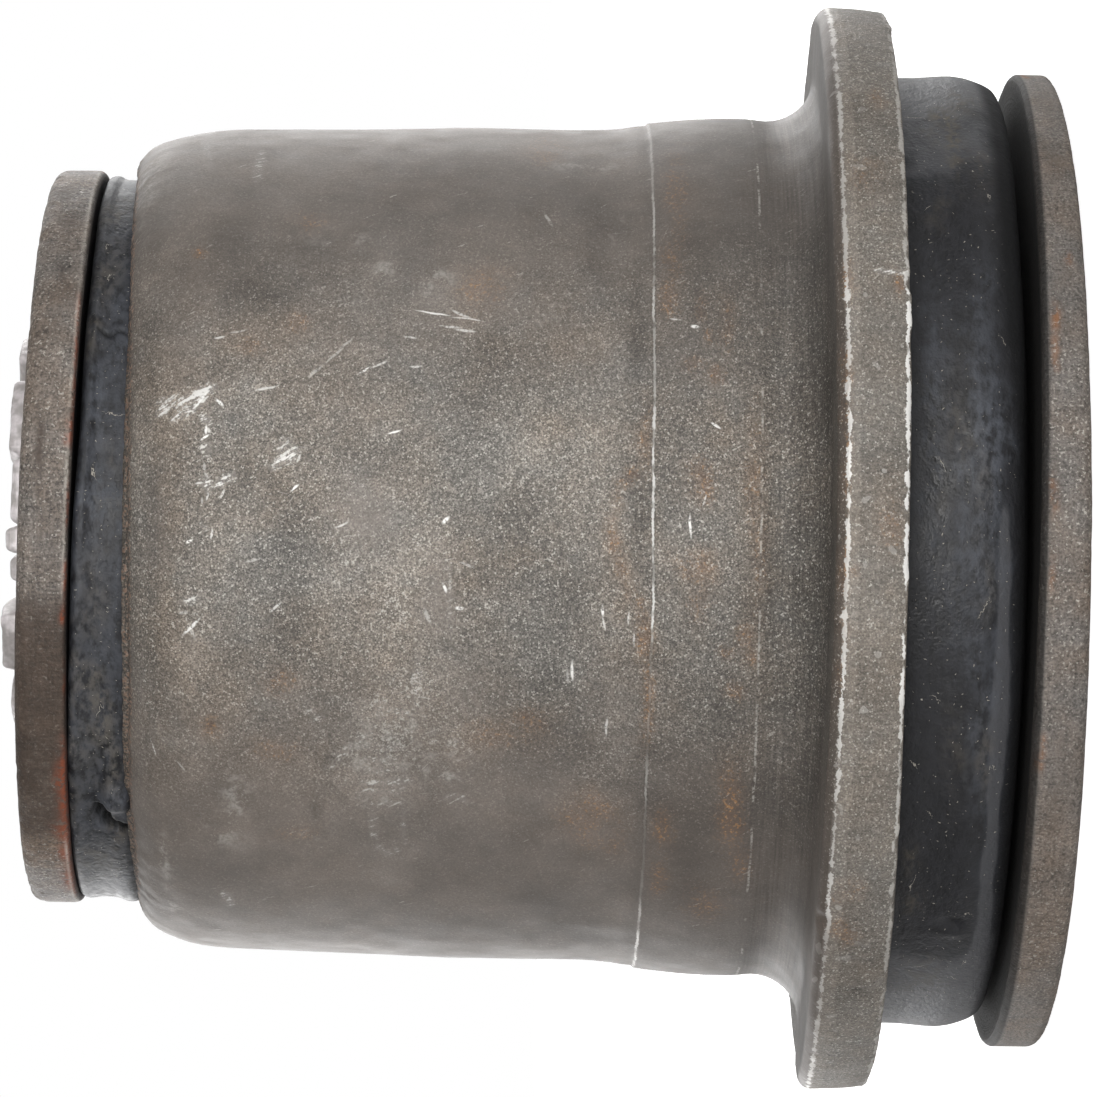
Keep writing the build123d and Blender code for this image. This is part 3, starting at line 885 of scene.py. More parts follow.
def make_shell(material):
    s = Turned(shell_profile(), (424, 144))
    p, z, r, phi = s.points(), s.z0, s.r0, s.phi
    outside = (smooth(10.2, 10.6, z) * smooth(22.6, 23.4, r)) * (1 - (r < 22.81) * (z < 53.0))
    # drawn steel is never quite true
    s.push(outside * (0.05 * noise(p, 14.0, 3) + 0.022 * noise(p, 4.0, 5) + 0.010 * noise(p, 1.5, 6)))
    # the rim is sheared: its lower edge is torn and its upper one rolled over
    torn = np.exp(-((z - 10.62) / 0.32) ** 2) * smooth(32.9, 33.4, r)
    chips = noise(p * [1, 1, 0], 0.42, 11) * 0.5 + noise(p * [1, 1, 0], 1.1, 12) * 0.6
    s.z = s.z + torn * (-0.09 * np.clip(chips, -0.6, 1) - 0.05 * noise(p * [1, 1, 0], 5.0, 13))
    s.r = s.r + torn * 0.05 * noise(p, 0.5, 14)
    rolled = np.exp(-((z - 14.05) / 0.30) ** 2) * smooth(33.0, 33.5, r)
    s.r = s.r + rolled * (0.05 * noise(p * [1, 1, 0.3], 0.55, 21) + 0.03 * noise(p * [1, 1, 0], 2.2, 22))
    rim = smooth(33.0, 33.45, r) * smooth(10.7, 11.0, z) * (1 - smooth(13.2, 13.6, z))
    s.r = s.r + rim * (0.018 * noise(p * [1, 1, 0.25], 0.6, 23) - 0.02)
    # a burr on the lower edge, and nicks and a bead on the upper
    for at, wide, out, down in ((23.2, 2.6, 0.05, 0.17), (25.6, 1.2, 0.07, 0.12), (28.4, 0.8, 0.04, 0.07), (-30.5, 1.4, -0.06, -0.16), (-28.6, 0.9, 0.03, 0.06), (-51.0, 1.0, 0.03, 0.05),
                                (71.0, 1.8, 0.05, 0.12), (118.0, 2.4, -0.05, -0.14), (156.0, 1.6, 0.05, 0.12), (-96.0, 2.0, 0.04, 0.10), (-134.0, 1.5, -0.05, -0.12), (-164.0, 2.8, 0.05, 0.12)):
        w = bump(turn(phi - at), 0, wide) * np.exp(-((z - 10.65) / 0.35) ** 2) * smooth(32.9, 33.4, r)
        s.r = s.r + w * out
        s.z = s.z - w * down
    for at, wide, h in ((-6.7, 0.75, 0.30), (141.0, 0.8, 0.22), (-118.0, 0.7, 0.25)):
        w = bump(turn(phi - at), 0, wide) * np.exp(-((z - 14.45) / 0.22) ** 2) * smooth(32.7, 33.2, r)
        s.z = s.z + w * h
        s.r = s.r + w * 0.06
    for at, wide, h in ((-39.8, 1.2, -0.22), (12.2, 0.8, -0.10), (96.0, 1.4, -0.18), (-151.0, 1.0, -0.2)):
        w = bump(turn(phi - at), 0, wide) * np.exp(-((z - 14.35) / 0.35) ** 2) * smooth(32.6, 33.2, r)
        s.z = s.z + w * h
        s.r = s.r + w * h * 0.4
    # pit in the rim
    pit = np.exp(-((turn(phi + 50.3) * 33.6 * math.pi / 180) / 0.34) ** 2 - ((z - 12.35) / 0.42) ** 2) * (r > 33.0)
    s.r = s.r - 0.16 * pit
    # the step between seat and wall wanders a little
    s.z = s.z + smooth(21.5, 24.0, z) * (1 - smooth(26.0, 29.5, z)) * (r > 25) * 0.28 * (1 - np.maximum(np.cos(np.radians(phi)), 0.0))
    s.z = s.z + smooth(13.0, 13.9, z) * (1 - smooth(14.76, 16.6, z)) * (r > 26) * np.interp(phi, SEAT_AT, SEAT_UP)
    at_step = np.exp(-((z - 24.62) / 0.30) ** 2) * (r > 25)
    s.z = s.z + at_step * (0.10 * noise(p * [1, 1, 0], 7.0, 31) - 0.06 * bump(turn(phi + 62), 0, 40) + 0.03 * noise(p * [1, 1, 0], 1.3, 32))
    # the turned-in mouth is uneven, with a worn lip
    lip = smooth(51.0, 55.0, z) * smooth(22.3, 22.6, r)
    a = np.radians(phi)
    s.z = s.z + lip * (0.11 - 0.88 * np.maximum(np.cos(a), 0.0) + 0.40 * np.sin(a) + 0.10 * noise(p * [1, 1, 0], 6.0, 41) + 0.05 * noise(p * [1, 1, 0], 0.8, 42))
    edge = smooth(54.6, 55.2, z) * (r > 22.3) * (r < 23.6)
    s.z = s.z + edge * 0.06 * noise(p * [1, 1, 0], 0.45, 43)
    wall = (r > 22.9) & (z > 14.0)
    lo, hi = 14.0, 54.0
    light = [t for t in TONE if t[4] > 0]
    shade = [t[:4] + (-t[4],) for t in TONE if t[4] < 0]
    brown = [t for t in WARM if t[4] > 0]
    grey = [t[:4] + (-t[4],) for t in WARM if t[4] < 0]
    m = s.masks
    for k, (key, spots) in enumerate((("pale", PALE), ("worn", SMOOTH), ("dark", DARK))):
        m[key] = paint(phi, z, 26.0, both_sides(spots, lo, hi), p, 300 + 10 * k) * wall
    m["rust"] = np.maximum(paint(phi, z, 26.0, both_sides(RUST, lo, hi), p, 341) * wall, paint(phi, z, 33.6, both_sides(RUST_RIM, 10.5, 14.6), p, 342) * (r > 32.7))
    m["scuff"] = scrape(phi, z, 26.0, SCUFFS + [(turn(a + 180), lo + hi - b, turn(a + 180) + (c - a), lo + hi - d, w, k) for a, b, c, d, w, k in SCUFFS if a > -9.0], p, 351) * wall
    m["scuff"] = np.maximum(m["scuff"], scrape(phi, z, 33.2, SCUFFS_RIM, p, 352) * (r > 33.2))
    m["tone"] = 0.55 * fbm(p, 6.5, 361, 3, 0.6) + 0.40 * fbm(p, 1.9, 362, 3, 0.65)
    m["tone"] = m["tone"] + (paint(phi, z, 26.0, both_sides(light, lo, hi), p, 363, 0.6) - paint(phi, z, 26.0, both_sides(shade, lo, hi), p, 364, 0.6)) * wall
    m["warm"] = 0.42 + 0.55 * fbm(p, 4.5, 371, 4, 0.6)
    m["warm"] = m["warm"] + (paint(phi, z, 26.0, both_sides(brown, lo, hi), p, 372, 0.6) - paint(phi, z, 26.0, both_sides(grey, lo, hi), p, 373, 0.6)) * wall
    m["warm"] = m["warm"] + 0.30 * smooth(-8.0, -45.0, np.where(np.abs(phi) < 90, phi, phi * 0)) * wall
    m["mid"] = 0.5 + 0.75 * fbm(p, 1.5, 381, 3, 0.6)
    m["wu"], m["wz"] = fbm(p, 1.0, 391, 2), fbm(p, 1.0, 392, 2)
    m["lift"] = s.z - z
    # how bright the worn edges are round the part: bare metal, with painted highlight where they catch the light
    e = np.where(np.abs(z - 24.6) < 1.5, np.interp(phi, STEP_AT, STEP_K), 0.0)
    e = np.where((r > 32.5) & (z > 12.5), np.interp(phi, UPPER_AT, UPPER_K), e)
    e = np.where((r > 32.5) & (z <= 12.5), np.interp(phi, LOWER_AT, LOWER_K), e)
    m["edge"] = np.clip(e * (1 + 0.25 * noise(p * [1, 1, 0], 2.5, 395)), 0, 1)
    m["dark"] = np.maximum(m["dark"], pit * (r > 33.0))
    side = 90.0 - np.abs(np.abs(phi) - 90.0)
    low = np.where(np.abs(phi) < 90, -phi, phi - np.sign(phi) * 180.0)
    low = np.where(np.abs(phi) == 90, -phi, low)
    calm = 0.95 * smooth(8.0, 44.0, np.where(low > 0, side, side * 0.84) + 8 * fbm(p, 4.0, 396, 3))
    m["worn"] = np.clip(np.maximum(m["worn"], calm) * wall, 0, 1)
    # painted shade: the wall is darker towards its -X side
    m["tone"] = m["tone"] - 0.36 * smooth(52.0, 74.0, low) * wall
    for key in ("tone", "warm"):
        m[key] = np.clip(m[key], -1, 1)
    return s.mesh("outer_shell_skin", material, "outer_shell")


# ------------------------------------------------------------------ rubber
def rubber_profile():
    p = [(13.5, 3.0), (18.0, 3.0), (23.0, 3.0), (24.8, 3.2), (26.6, 3.44), (27.5, 3.58)]
    p += curve([(28.1, 3.65), (28.5, 3.76), (28.82, 3.98), (29.03, 4.28), (29.20, 4.65), (29.34, 5.05), (29.47, 5.5), (29.55, 6.0)], 3)
    p += spread([(29.58, 6.3), (29.57, 6.8), (29.43, 8.6), (29.42, 10.4)], 0.30)
    p += [(29.40, 10.50), (29.30, 10.55), (27.0, 10.55), (24.4, 10.55), (23.27, 11.02), (22.8, 12.15), (22.8, 26.0), (22.8, 40.0), (22.8, 52.2), (22.68, 52.9), (22.55, 53.2), (22.35, 53.4)]
    p += spread([(22.33, 53.8), (22.30, 54.3), (22.28, 56.45)], 0.14)
    p += [(22.30, 56.55), (22.36, 56.66), (22.45, 56.76), (22.50, 56.86), (22.51, 56.97), (22.50, 57.08), (22.47, 57.18), (22.40, 57.27), (22.28, 57.34), (22.1, 57.40), (21.85, 57.45)]
    p += [(21.2, 57.52), (20.1, 57.6), (18.8, 57.95), (17.5, 58.3), (15.5, 58.3), (13.5, 58.3), (13.5, 40.0), (13.5, 20.0)]
    return p


CHUNK = (-44.2, 55.6)
TEAR = [(-46.3, 56.50), (-48.6, 56.40), (-50.2, 56.02), (-50.4, 55.6), (-51.6, 55.05)]
LIP_AT, LIP_UP = zip((-180, 0.4), (-150, 0.7), (-120, 1.0), (-90, 1.2), (-77, 1.22), (-59, 1.12), (-47, 1.04), (-37, 0.97), (-29, 0.84), (-19, 0.66), (-10, 0.58), (0, 0.5), (10, 0.34), (17, 0.24), (33, 0.19), (45, 0.15), (60, 0.2), (90, 0.25), (120, 0.2), (150, 0.25), (180, 0.4))


def make_rubber(material):
    s = Turned(rubber_profile(), (560, 300))
    p, z, r, phi = s.points(), s.z0, s.r0, s.phi
    a = np.radians(phi)
    collar = (z < 10.4) & (r > 24.5)
    ring = (z > 53.9) & (r > 17.6)
    s.push(collar * (0.05 * noise(p, 9.0, 61) + 0.02 * noise(p, 2.6, 62) + 0.008 * noise(p, 0.9, 63)))
    s.push(ring * (0.035 * noise(p, 6.0, 64) + 0.015 * noise(p, 1.6, 65)))
    # the lip is closer to the washer on the -X side, and rests on it there
    lip = smooth(56.2, 56.9, z) * (r > 19.5)
    s.z = s.z + lip * (np.interp(phi, LIP_AT, LIP_UP) + 0.03 * noise(p * [1, 1, 0], 3.0, 66))
    inner_face = 58.27 + smooth(13.5, 22.8, r) * (TILT_A * np.cos(a) + TILT_B * np.sin(a))
    s.z = np.where((z > 56.0) & (r > 17.6), np.minimum(s.z, inner_face), s.z)
    s.r = s.r + smooth(53.6, 54.2, z) * (r > 22) * (-0.04 + 0.05 * noise(p * [1, 1, 0], 12.0, 67))
    # it bulges out of the mouth towards -X
    s.r = s.r + bump(turn(phi + 90), 0, 70) * np.exp(-((z - 55.6) / 0.9) ** 2) * (r > 22) * 0.45
    # moulding pit in the collar
    u = turn(phi + 47.9) * 29.5 * math.pi / 180
    s.r = s.r - 0.28 * np.exp(-(u / 0.55) ** 2 - ((z - 6.72) / 0.62) ** 2) * collar
    s.r = s.r + 0.09 * np.exp(-((u + 0.9) / 0.5) ** 2 - ((z - 6.8) / 0.8) ** 2) * collar
    # torn place on the ring: a crooked slot under a swollen flap
    hole = np.zeros_like(z)
    zz = s.z.copy()
    for (p0, z0), (p1, z1) in zip(TEAR, TEAR[1:]):
        u, v = turn(phi - p0) * 0.385, zz - z0
        du, dv = (p1 - p0) * 0.385, z1 - z0
        t = np.clip((u * du + v * dv) / (du * du + dv * dv), 0, 1)
        d = np.hypot(u - t * du, v - t * dv) / 0.46
        hole = np.maximum(hole, (1 - smooth(0.45, 1.15, d + 0.25 * noise(p, 0.4, 71))))
    hole = hole * ring
    u = turn(phi - CHUNK[0]) * 0.385
    flap = np.exp(-((u / 0.95) ** 4) - ((zz - CHUNK[1]) / 0.78) ** 4) * (0.85 + 0.3 * noise(p, 0.7, 72))
    s.r = s.r + (0.62 * flap * (1 - hole) - 1.0 * hole) * ring
    # a crack runs in from the lip
    u = turn(phi - 32.6 - 0.5 * np.sin(z * 5.0)) * 22.3 * math.pi / 180
    crack = np.exp(-((u / 0.13) ** 2)) * smooth(55.0, 55.4, z) * (1 - smooth(56.6, 57.0, z))
    s.r = s.r - 0.22 * crack * ring
    s.r = s.r + 0.07 * np.exp(-(((u - 0.3) / 0.22) ** 2)) * smooth(55.4, 55.9, z) * (1 - smooth(56.7, 57.0, z)) * ring
    lump = np.exp(-((turn(phi - 33.2) * 0.385 / 0.6) ** 2) - ((z - 56.65) / 0.38) ** 2) * (0.8 + 0.5 * noise(p, 0.35, 73))
    s.r = s.r + 0.30 * lump * ring
    m = s.masks
    # painted shade inside the torn slot and the crack
    m["tear_shade"] = np.clip(1.4 * hole + 0.8 * crack, 0, 1) * ring
    m["dust"] = np.maximum(paint(phi, z, 29.5, DUST_COLLAR, p, 401, 0.7) * collar, paint(phi, z, 22.3, DUST_RING, p, 402, 0.7) * ring)
    # collar: a bluish film with painted sheen and highlight streaks; ring: a bluish film all over
    m["haze_and_sheen_mask"] = np.maximum(paint(phi, z, 29.5, SHEEN, p, 403, 0.7) * collar, ring * np.clip(0.5 + 0.4 * fbm(p * [1, 1, 2.5], 2.5, 406, 3) + 0.4 * flap, 0, 1))
    m["blot"] = np.maximum(paint(phi, z, 29.5, BLOTS, p, 404, 0.8) * collar, 0.8 * paint(phi, z, 22.3, [(turn(q[0] + 100), 55.9, 2.0, 0.8, q[4]) for q in BLOTS], p, 405, 0.8) * ring)
    m["tone"] = fbm(p * [1, 1, 1.6], 5.0, 411, 4, 0.6)
    turned_to = np.where(np.abs(phi) < 90, phi, np.sign(phi) * 180.0 - phi)
    # painted reflection: the collar is lighter towards its outline
    m["tone"] = m["tone"] + 1.3 * smooth(36.0, 66.0, np.abs(turned_to) + 6 * fbm(p, 3.0, 412, 3)) * collar
    # painted highlight: a soft streak along the shoulder on the -X side
    m["tone"] = m["tone"] + (1.7 + 0.5 * noise(p * [1, 1, 0.5], 2.2, 413)) * np.exp(-((z - 4.95) / 0.44) ** 2) * smooth(15.0, -3.0, turned_to) * collar
    # painted shade: a dark band on the -X side of the collar
    m["tone"] = m["tone"] - 1.5 * np.exp(-(((turned_to + 36.0) / 11.0) ** 2)) * smooth(5.9, 6.7, z) * collar
    # painted shade: the wedges beside the washers are painted near black and free of dust, and so is the ring's face
    # against the small washer
    open_side = smooth(32.0, 12.0, turned_to)
    m["deep"] = np.clip((1 - smooth(4.5 - 0.65 * open_side, 5.45 - 0.8 * open_side, z)) + smooth(57.42, 57.5, z) * (r < 21.9), 0, 1)
    # painted shadow of the shell's mouth on the ring, except on the flap
    mouth = 55.56 - 0.88 * np.maximum(np.cos(a), 0.0) + 0.40 * np.sin(a)
    shaded = smooth(8.0, -12.0, np.where(np.abs(phi) < 110, phi, -phi)) * (0.8 + 0.3 * noise(p * [1, 1, 0], 2.0, 74))
    m["deep"] = np.maximum(m["deep"], ring * np.clip(shaded * (1 - smooth(0.15, 0.65, z - mouth)), 0, 1) * 0.8 * (1 - flap))
    # painted shade: a dark band on the ring's lip
    m["deep"] = np.maximum(m["deep"], ring * 0.6 * smooth(56.80, 57.02, z) * smooth(4.0, 14.0, phi) * smooth(76.0, 60.0, phi))
    return s.mesh("rubber_body_skin", material, "rubber_body")


# spots (phi, z, half width round, half height along, strength), seen on the near side and made up to match on the far one
DUST_COLLAR = [
    (60.0, 7.6, 2.2, 0.9, 0.8), (54.0, 7.2, 3.2, 0.55, 0.7), (66.0, 6.6, 2.6, 1.2, 0.45), (50.0, 5.6, 2.0, 0.8, 0.25), (43.0, 8.4, 2.0, 0.8, 0.2),
    (14.0, 7.6, 3.2, 0.9, 0.35), (6.0, 8.2, 1.6, 0.5, 0.25), (9.0, 6.2, 2.4, 0.5, 0.3), (-3.0, 6.0, 2.0, 0.6, 0.25), (-25.0, 5.7, 3.0, 0.5, 0.35),
    (-22.0, 7.4, 3.4, 0.8, 0.2), (-37.0, 9.4, 1.2, 0.4, 0.5), (-44.0, 9.3, 1.5, 0.5, 0.35), (-60.0, 8.2, 3.0, 1.6, 0.25),
    (92.0, 7.5, 3.5, 1.2, 0.5), (110.0, 6.0, 2.6, 0.8, 0.4), (131.0, 8.0, 4.0, 1.2, 0.35), (152.0, 6.4, 2.6, 0.9, 0.45), (173.0, 8.5, 3.2, 1.0, 0.3),
    (-165.0, 6.2, 3.4, 0.8, 0.4), (-143.0, 7.9, 3.0, 1.3, 0.35), (-120.0, 6.2, 2.6, 0.8, 0.5), (-101.0, 8.3, 3.4, 1.2, 0.3), (-84.0, 6.8, 3.0, 1.0, 0.35),
]
SHEEN = [
    (-8.0, 5.25, 15.0, 0.42, 0.4), (10.0, 5.5, 9.0, 0.6, 0.8), (3.0, 7.6, 9.0, 0.7, 0.5), (172.0, 5.3, 15.0, 0.42, 0.9),
    (11.8, 7.70, 1.6, 0.20, 1.0), (9.5, 8.6, 1.5, 0.20, 0.7),
    (12.0, 6.3, 7.0, 1.3, 0.9), (2.0, 6.4, 6.0, 1.2, 0.7), (-9.0, 6.2, 5.0, 1.1, 0.5), (20.0, 8.8, 6.0, 0.8, 0.5), (26.0, 6.0, 5.0, 0.9, 0.5), (-18.0, 5.8, 6.0, 0.8, 0.55),
    (-27.0, 5.6, 5.0, 0.7, 0.4), (4.0, 9.0, 4.0, 0.7, 0.35), (95.0, 6.4, 8.0, 1.2, 0.6), (128.0, 7.2, 8.0, 1.4, 0.5), (163.0, 6.2, 8.0, 1.2, 0.6), (-150.0, 7.0, 8.0, 1.4, 0.5), (-112.0, 6.2, 8.0, 1.2, 0.6), (-75.0, 7.0, 6.0, 1.2, 0.4),
]
BLOTS = [
    (13.2, 6.75, 1.0, 0.52, 1.0), (16.5, 8.9, 1.2, 0.7, 0.8), (10.0, 8.9, 2.2, 0.7, 0.8), (5.0, 8.2, 1.8, 0.6, 0.8), (0.5, 8.9, 1.6, 0.9, 0.6), (-6.0, 8.6, 2.4, 1.2, 0.5), (7.5, 7.1, 1.0, 0.4, 0.5),
    (21.0, 7.3, 2.4, 0.7, 0.4), (100.0, 8.0, 3.0, 1.0, 0.6), (140.0, 7.0, 3.0, 1.0, 0.6), (178.0, 7.6, 3.0, 1.0, 0.6), (-135.0, 8.2, 3.0, 1.0, 0.6), (-95.0, 7.4, 3.0, 1.0, 0.6),
]
DUST_RING = [
    (-22.0, 56.6, 1.4, 0.7, 0.5), (-26.0, 56.2, 1.8, 0.5, 0.55), (-31.0, 56.0, 1.8, 0.6, 0.6), (-36.0, 56.0, 2.2, 0.7, 0.6), (-39.5, 55.8, 1.6, 0.6, 0.5), (-33.0, 57.2, 3.0, 0.5, 0.45), (-45.0, 57.2, 3.0, 0.5, 0.4),
    (-52.0, 55.8, 2.4, 0.5, 0.5), (-60.0, 56.4, 2.6, 0.9, 0.35), (33.5, 56.8, 0.7, 0.4, 0.8), (31.0, 57.1, 1.0, 0.3, 0.5), (14.0, 55.8, 1.2, 0.5, 0.25), (-8.0, 56.6, 3.2, 0.8, 0.3), (45.0, 56.6, 3.0, 0.8, 0.35), (62.0, 56.4, 3.0, 0.9, 0.4),
    (95.0, 56.2, 4.0, 0.8, 0.5), (124.0, 56.8, 4.0, 0.6, 0.5), (150.0, 56.0, 4.0, 0.8, 0.4), (-172.0, 56.6, 5.0, 0.7, 0.5), (-140.0, 56.2, 4.0, 0.8, 0.5), (-110.0, 56.6, 4.0, 0.6, 0.45), (-85.0, 56.2, 4.0, 0.8, 0.5),
]


# ------------------------------------------------------------------ washers
def washer_profile(radius, hole, z0, thick, low, high, fine):
    z1 = z0 + thick
    p = [(hole, z0)]
    p += spread([(hole + 0.05, z0), (radius - low - 1.6, z0)], 1.6)
    p += spread([(radius - low - 1.6, z0), (radius - low, z0)], 0.35)
    p += arc(radius - low, z0 + low, low, 270, 360, 8)
    p += spread([(radius, z0 + low), (radius, z1 - high)], fine)
    p += arc(radius - high, z1 - high, high, 0, 90, 8)
    p += spread([(radius - high, z1), (radius - high - 1.6, z1)], 0.35)
    p += spread([(radius - high - 1.6, z1), (hole + 0.05, z1)], 1.2)
    p += [(hole, z1), (hole, (z0 + z1) / 2)]
    return p


def make_large_washer(material):
    s = Turned(washer_profile(30.27, 11.2, 0.0, 3.0, 0.6, 0.45, 0.14), (520, 330))
    p, z, r, phi = s.points(), s.z0, s.r0, s.phi
    w = smooth(12.0, 29.0, r)
    s.dx = -0.53 * w
    a = np.radians(phi)
    outer = 0.28 - 0.22 * np.cos(a) + 0.11 * np.sin(a)
    inner = -0.17 + 0.17 * np.cos(a) - 0.33 * np.sin(a)
    s.z = s.z + w * (outer + (inner - outer) * z / 3.0)
    rim = smooth(29.3, 29.7, r)
    s.push(rim * (0.03 * noise(p, 7.0, 81) + 0.012 * noise(p, 1.6, 82) + 0.012 * noise(p * [1, 1, 0.3], 0.6, 83)))
    s.r = s.r - rim * np.exp(-((z - 0.35) / 0.3) ** 2) * 0.05 * smooth(-0.1, 0.7, noise(p, 0.9, 84))
    s.push(w * (1 - rim) * smooth(2.0, 3.0, z) * 0.02 * noise(p, 5.0, 85))
    face = (z > 2.99) | (z < 0.01)
    m = s.masks
    m["stain"] = paint(phi, z, 30.0, STAIN_LARGE, p, 411, 0.6) * rim
    m["rust"] = paint(phi, z, 30.0, RUST_LARGE, p, 412, 0.7) * rim
    m["face"] = face * 1.0
    # dirt and painted shade between the washer and the collar, and painted shade on the rounding of the inner edge
    m["deep"] = (z > 1.5) * np.maximum(0.96 * (z > 2.99) * (1 - smooth(29.45, 29.95, r)), 0.86 * smooth(2.42, 2.66, z))
    m["tone"] = 0.6 * fbm(p, 5.0, 413, 3, 0.6) + 0.5 * fbm(p, 1.3, 414, 3, 0.6)
    m["warm"] = 0.35 + 0.6 * fbm(p, 3.4, 415, 4, 0.6)
    m["lines"] = smooth(2.0, 2.3, z)
    # painted glints, most round the front and in three other places round the washer
    m["glint"] = np.clip(bump(turn(phi - 6), 0, 34) + 0.6 * bump(turn(phi + 48), 0, 20) + 0.8 * bump(turn(phi - 118), 0, 30) + 0.8 * bump(turn(phi + 130), 0, 30), 0, 1) * (0.6 + 0.5 * fbm(p, 2.0, 416, 2)) * rim
    # painted highlight: a bright line where the rounding of the inner edge starts
    m["edge"] = np.exp(-((z - 2.58) / 0.08) ** 2) * np.interp(phi, (-180, -120, -75, -40, -20, -5, 10, 40, 90, 140, 180), (0.25, 0.4, 0.1, 0.25, 0.3, 0.25, 0.1, 0.0, 0.2, 0.3, 0.25)) * rim
    return s.mesh("large_end_washer_skin", material, "large_end_washer")


def make_small_washer(material):
    s = Turned(washer_profile(22.8, 11.2, 58.3, 3.0, 0.4, 0.8, 0.13), (520, 330))
    p, z, r, phi = s.points(), s.z0, s.r0, s.phi
    rim = smooth(21.7, 22.2, r)
    a = np.radians(phi)
    w = smooth(13.5, 22.8, r)
    s.z = s.z + w * (TILT_A * np.cos(a) + TILT_B * np.sin(a))
    s.push(rim * (0.035 * noise(p, 6.0, 91) + 0.015 * noise(p, 1.5, 92) + 0.010 * noise(p, 0.5, 93)))
    # gouges near the outer edge
    for pc, zc, du, dz, deep in GOUGES:
        u = turn(phi - pc) * 22.8 * math.pi / 180
        s.push(-deep * np.exp(-(u / du) ** 2 - ((z - zc) / dz) ** 2) * (0.7 + 0.5 * noise(p, 0.5, 94)) * rim)
    s.push(rim * (z > 60.3) * -0.07 * smooth(0.15, 0.75, noise(p, 0.9, 95)))
    m = s.masks
    m["stain"] = paint(phi, z, 22.8, STAIN_SMALL, p, 421, 0.7) * rim
    browned = smooth(-6, -12, phi) * smooth(-56, -48, phi) + smooth(96, 108, phi) * smooth(150, 138, phi)
    m["stain"] = np.maximum(m["stain"], browned * (0.95 + 0.5 * fbm(p, 2.6, 427, 3)) * rim)
    m["glint"] = 0.25 * rim * (1 - browned)
    m["rust"] = paint(phi, z, 22.8, RUST_SMALL, p, 422, 0.7) * smooth(21.4, 21.9, r)
    m["face"] = ((z > 61.29) | (z < 58.31)) * 1.0
    # painted shade: the face against the rubber ring, and the edge beside it, are painted near black
    m["deep"] = 0.95 * (z < 58.31) * (1 - smooth(21.9, 22.4, r)) + 0.7 * smooth(58.5, 58.32, z) * smooth(21.8, 22.3, r)
    m["tone"] = 0.6 * fbm(p, 4.0, 423, 3, 0.6) + 0.5 * fbm(p, 1.2, 424, 3, 0.6) - 0.35
    m["warm"] = 0.40 + 0.6 * fbm(p, 3.0, 425, 4, 0.6) + 0.35 * smooth(-4.0, -20.0, np.where(np.abs(phi) < 62, phi, 0.0))
    m["lines"] = 0.3 + 0.4 * smooth(60.3, 59.4, z)
    m["edge"] = np.exp(-((z - 58.55) / 0.09) ** 2) * (0.35 + 0.35 * noise(p, 2.0, 426)) * rim * (1 - browned)
    return s.mesh("small_end_washer_skin", material, "small_end_washer")


TILT_A, TILT_B = -0.20, -0.365
GOUGES = [
    (14.0, 60.55, 1.0, 0.10, 0.12), (12.4, 60.75, 1.3, 0.16, 0.14), (17.5, 60.85, 0.5, 0.18, 0.16), (16.0, 60.35, 0.6, 0.12, 0.10), (9.0, 60.85, 0.7, 0.12, 0.14), (21.5, 60.7, 0.6, 0.16, 0.08),
    (28.5, 59.95, 0.35, 0.18, 0.08), (-18.0, 60.45, 1.2, 0.10, 0.08), (5.5, 60.95, 0.4, 0.12, 0.12), (2.0, 60.95, 0.5, 0.12, 0.10), (-35.0, 60.6, 1.4, 0.2, 0.06),
    (72.0, 60.6, 1.2, 0.2, 0.12), (101.0, 60.4, 0.8, 0.3, 0.12), (139.0, 60.7, 1.6, 0.16, 0.12), (171.0, 60.2, 0.8, 0.3, 0.08), (-150.0, 60.7, 1.2, 0.2, 0.14), (-119.0, 60.5, 0.9, 0.3, 0.10), (-88.0, 60.7, 1.5, 0.16, 0.10),
]
STAIN_SMALL = [
    (13.0, 60.1, 2.2, 0.30, 0.9), (2.0, 59.9, 1.6, 0.35, 0.35), (-3.5, 60.0, 1.2, 0.3, 0.4), (-15.0, 59.9, 2.6, 0.9, 0.7), (-20.0, 59.8, 2.4, 0.8, 0.7), (-27.0, 60.0, 3.0, 1.2, 0.85), (-36.0, 59.8, 3.4, 1.3, 0.9),
    (-45.0, 60.2, 2.4, 1.0, 0.5), (-52.0, 60.1, 2.2, 0.5, 0.5), (33.0, 59.9, 1.6, 0.8, 0.4), (42.0, 59.6, 2.2, 0.9, 0.6), (55.0, 59.4, 2.4, 0.8, 0.6), (-2.0, 58.9, 3.0, 0.5, 0.3), (66.0, 60.4, 1.6, 0.8, 0.5),
    (84.0, 59.8, 3.0, 0.8, 0.6), (104.0, 60.2, 3.4, 1.0, 0.7), (127.0, 59.6, 3.6, 0.9, 0.6), (150.0, 60.2, 3.0, 1.0, 0.7), (172.0, 59.6, 3.8, 0.9, 0.6), (-165.0, 60.3, 3.0, 0.8, 0.7), (-142.0, 59.7, 3.6, 1.0, 0.6), (-120.0, 60.1, 3.2, 0.9, 0.7), (-98.0, 59.6, 3.2, 0.9, 0.7), (-76.0, 60.2, 3.0, 0.9, 0.6),
]
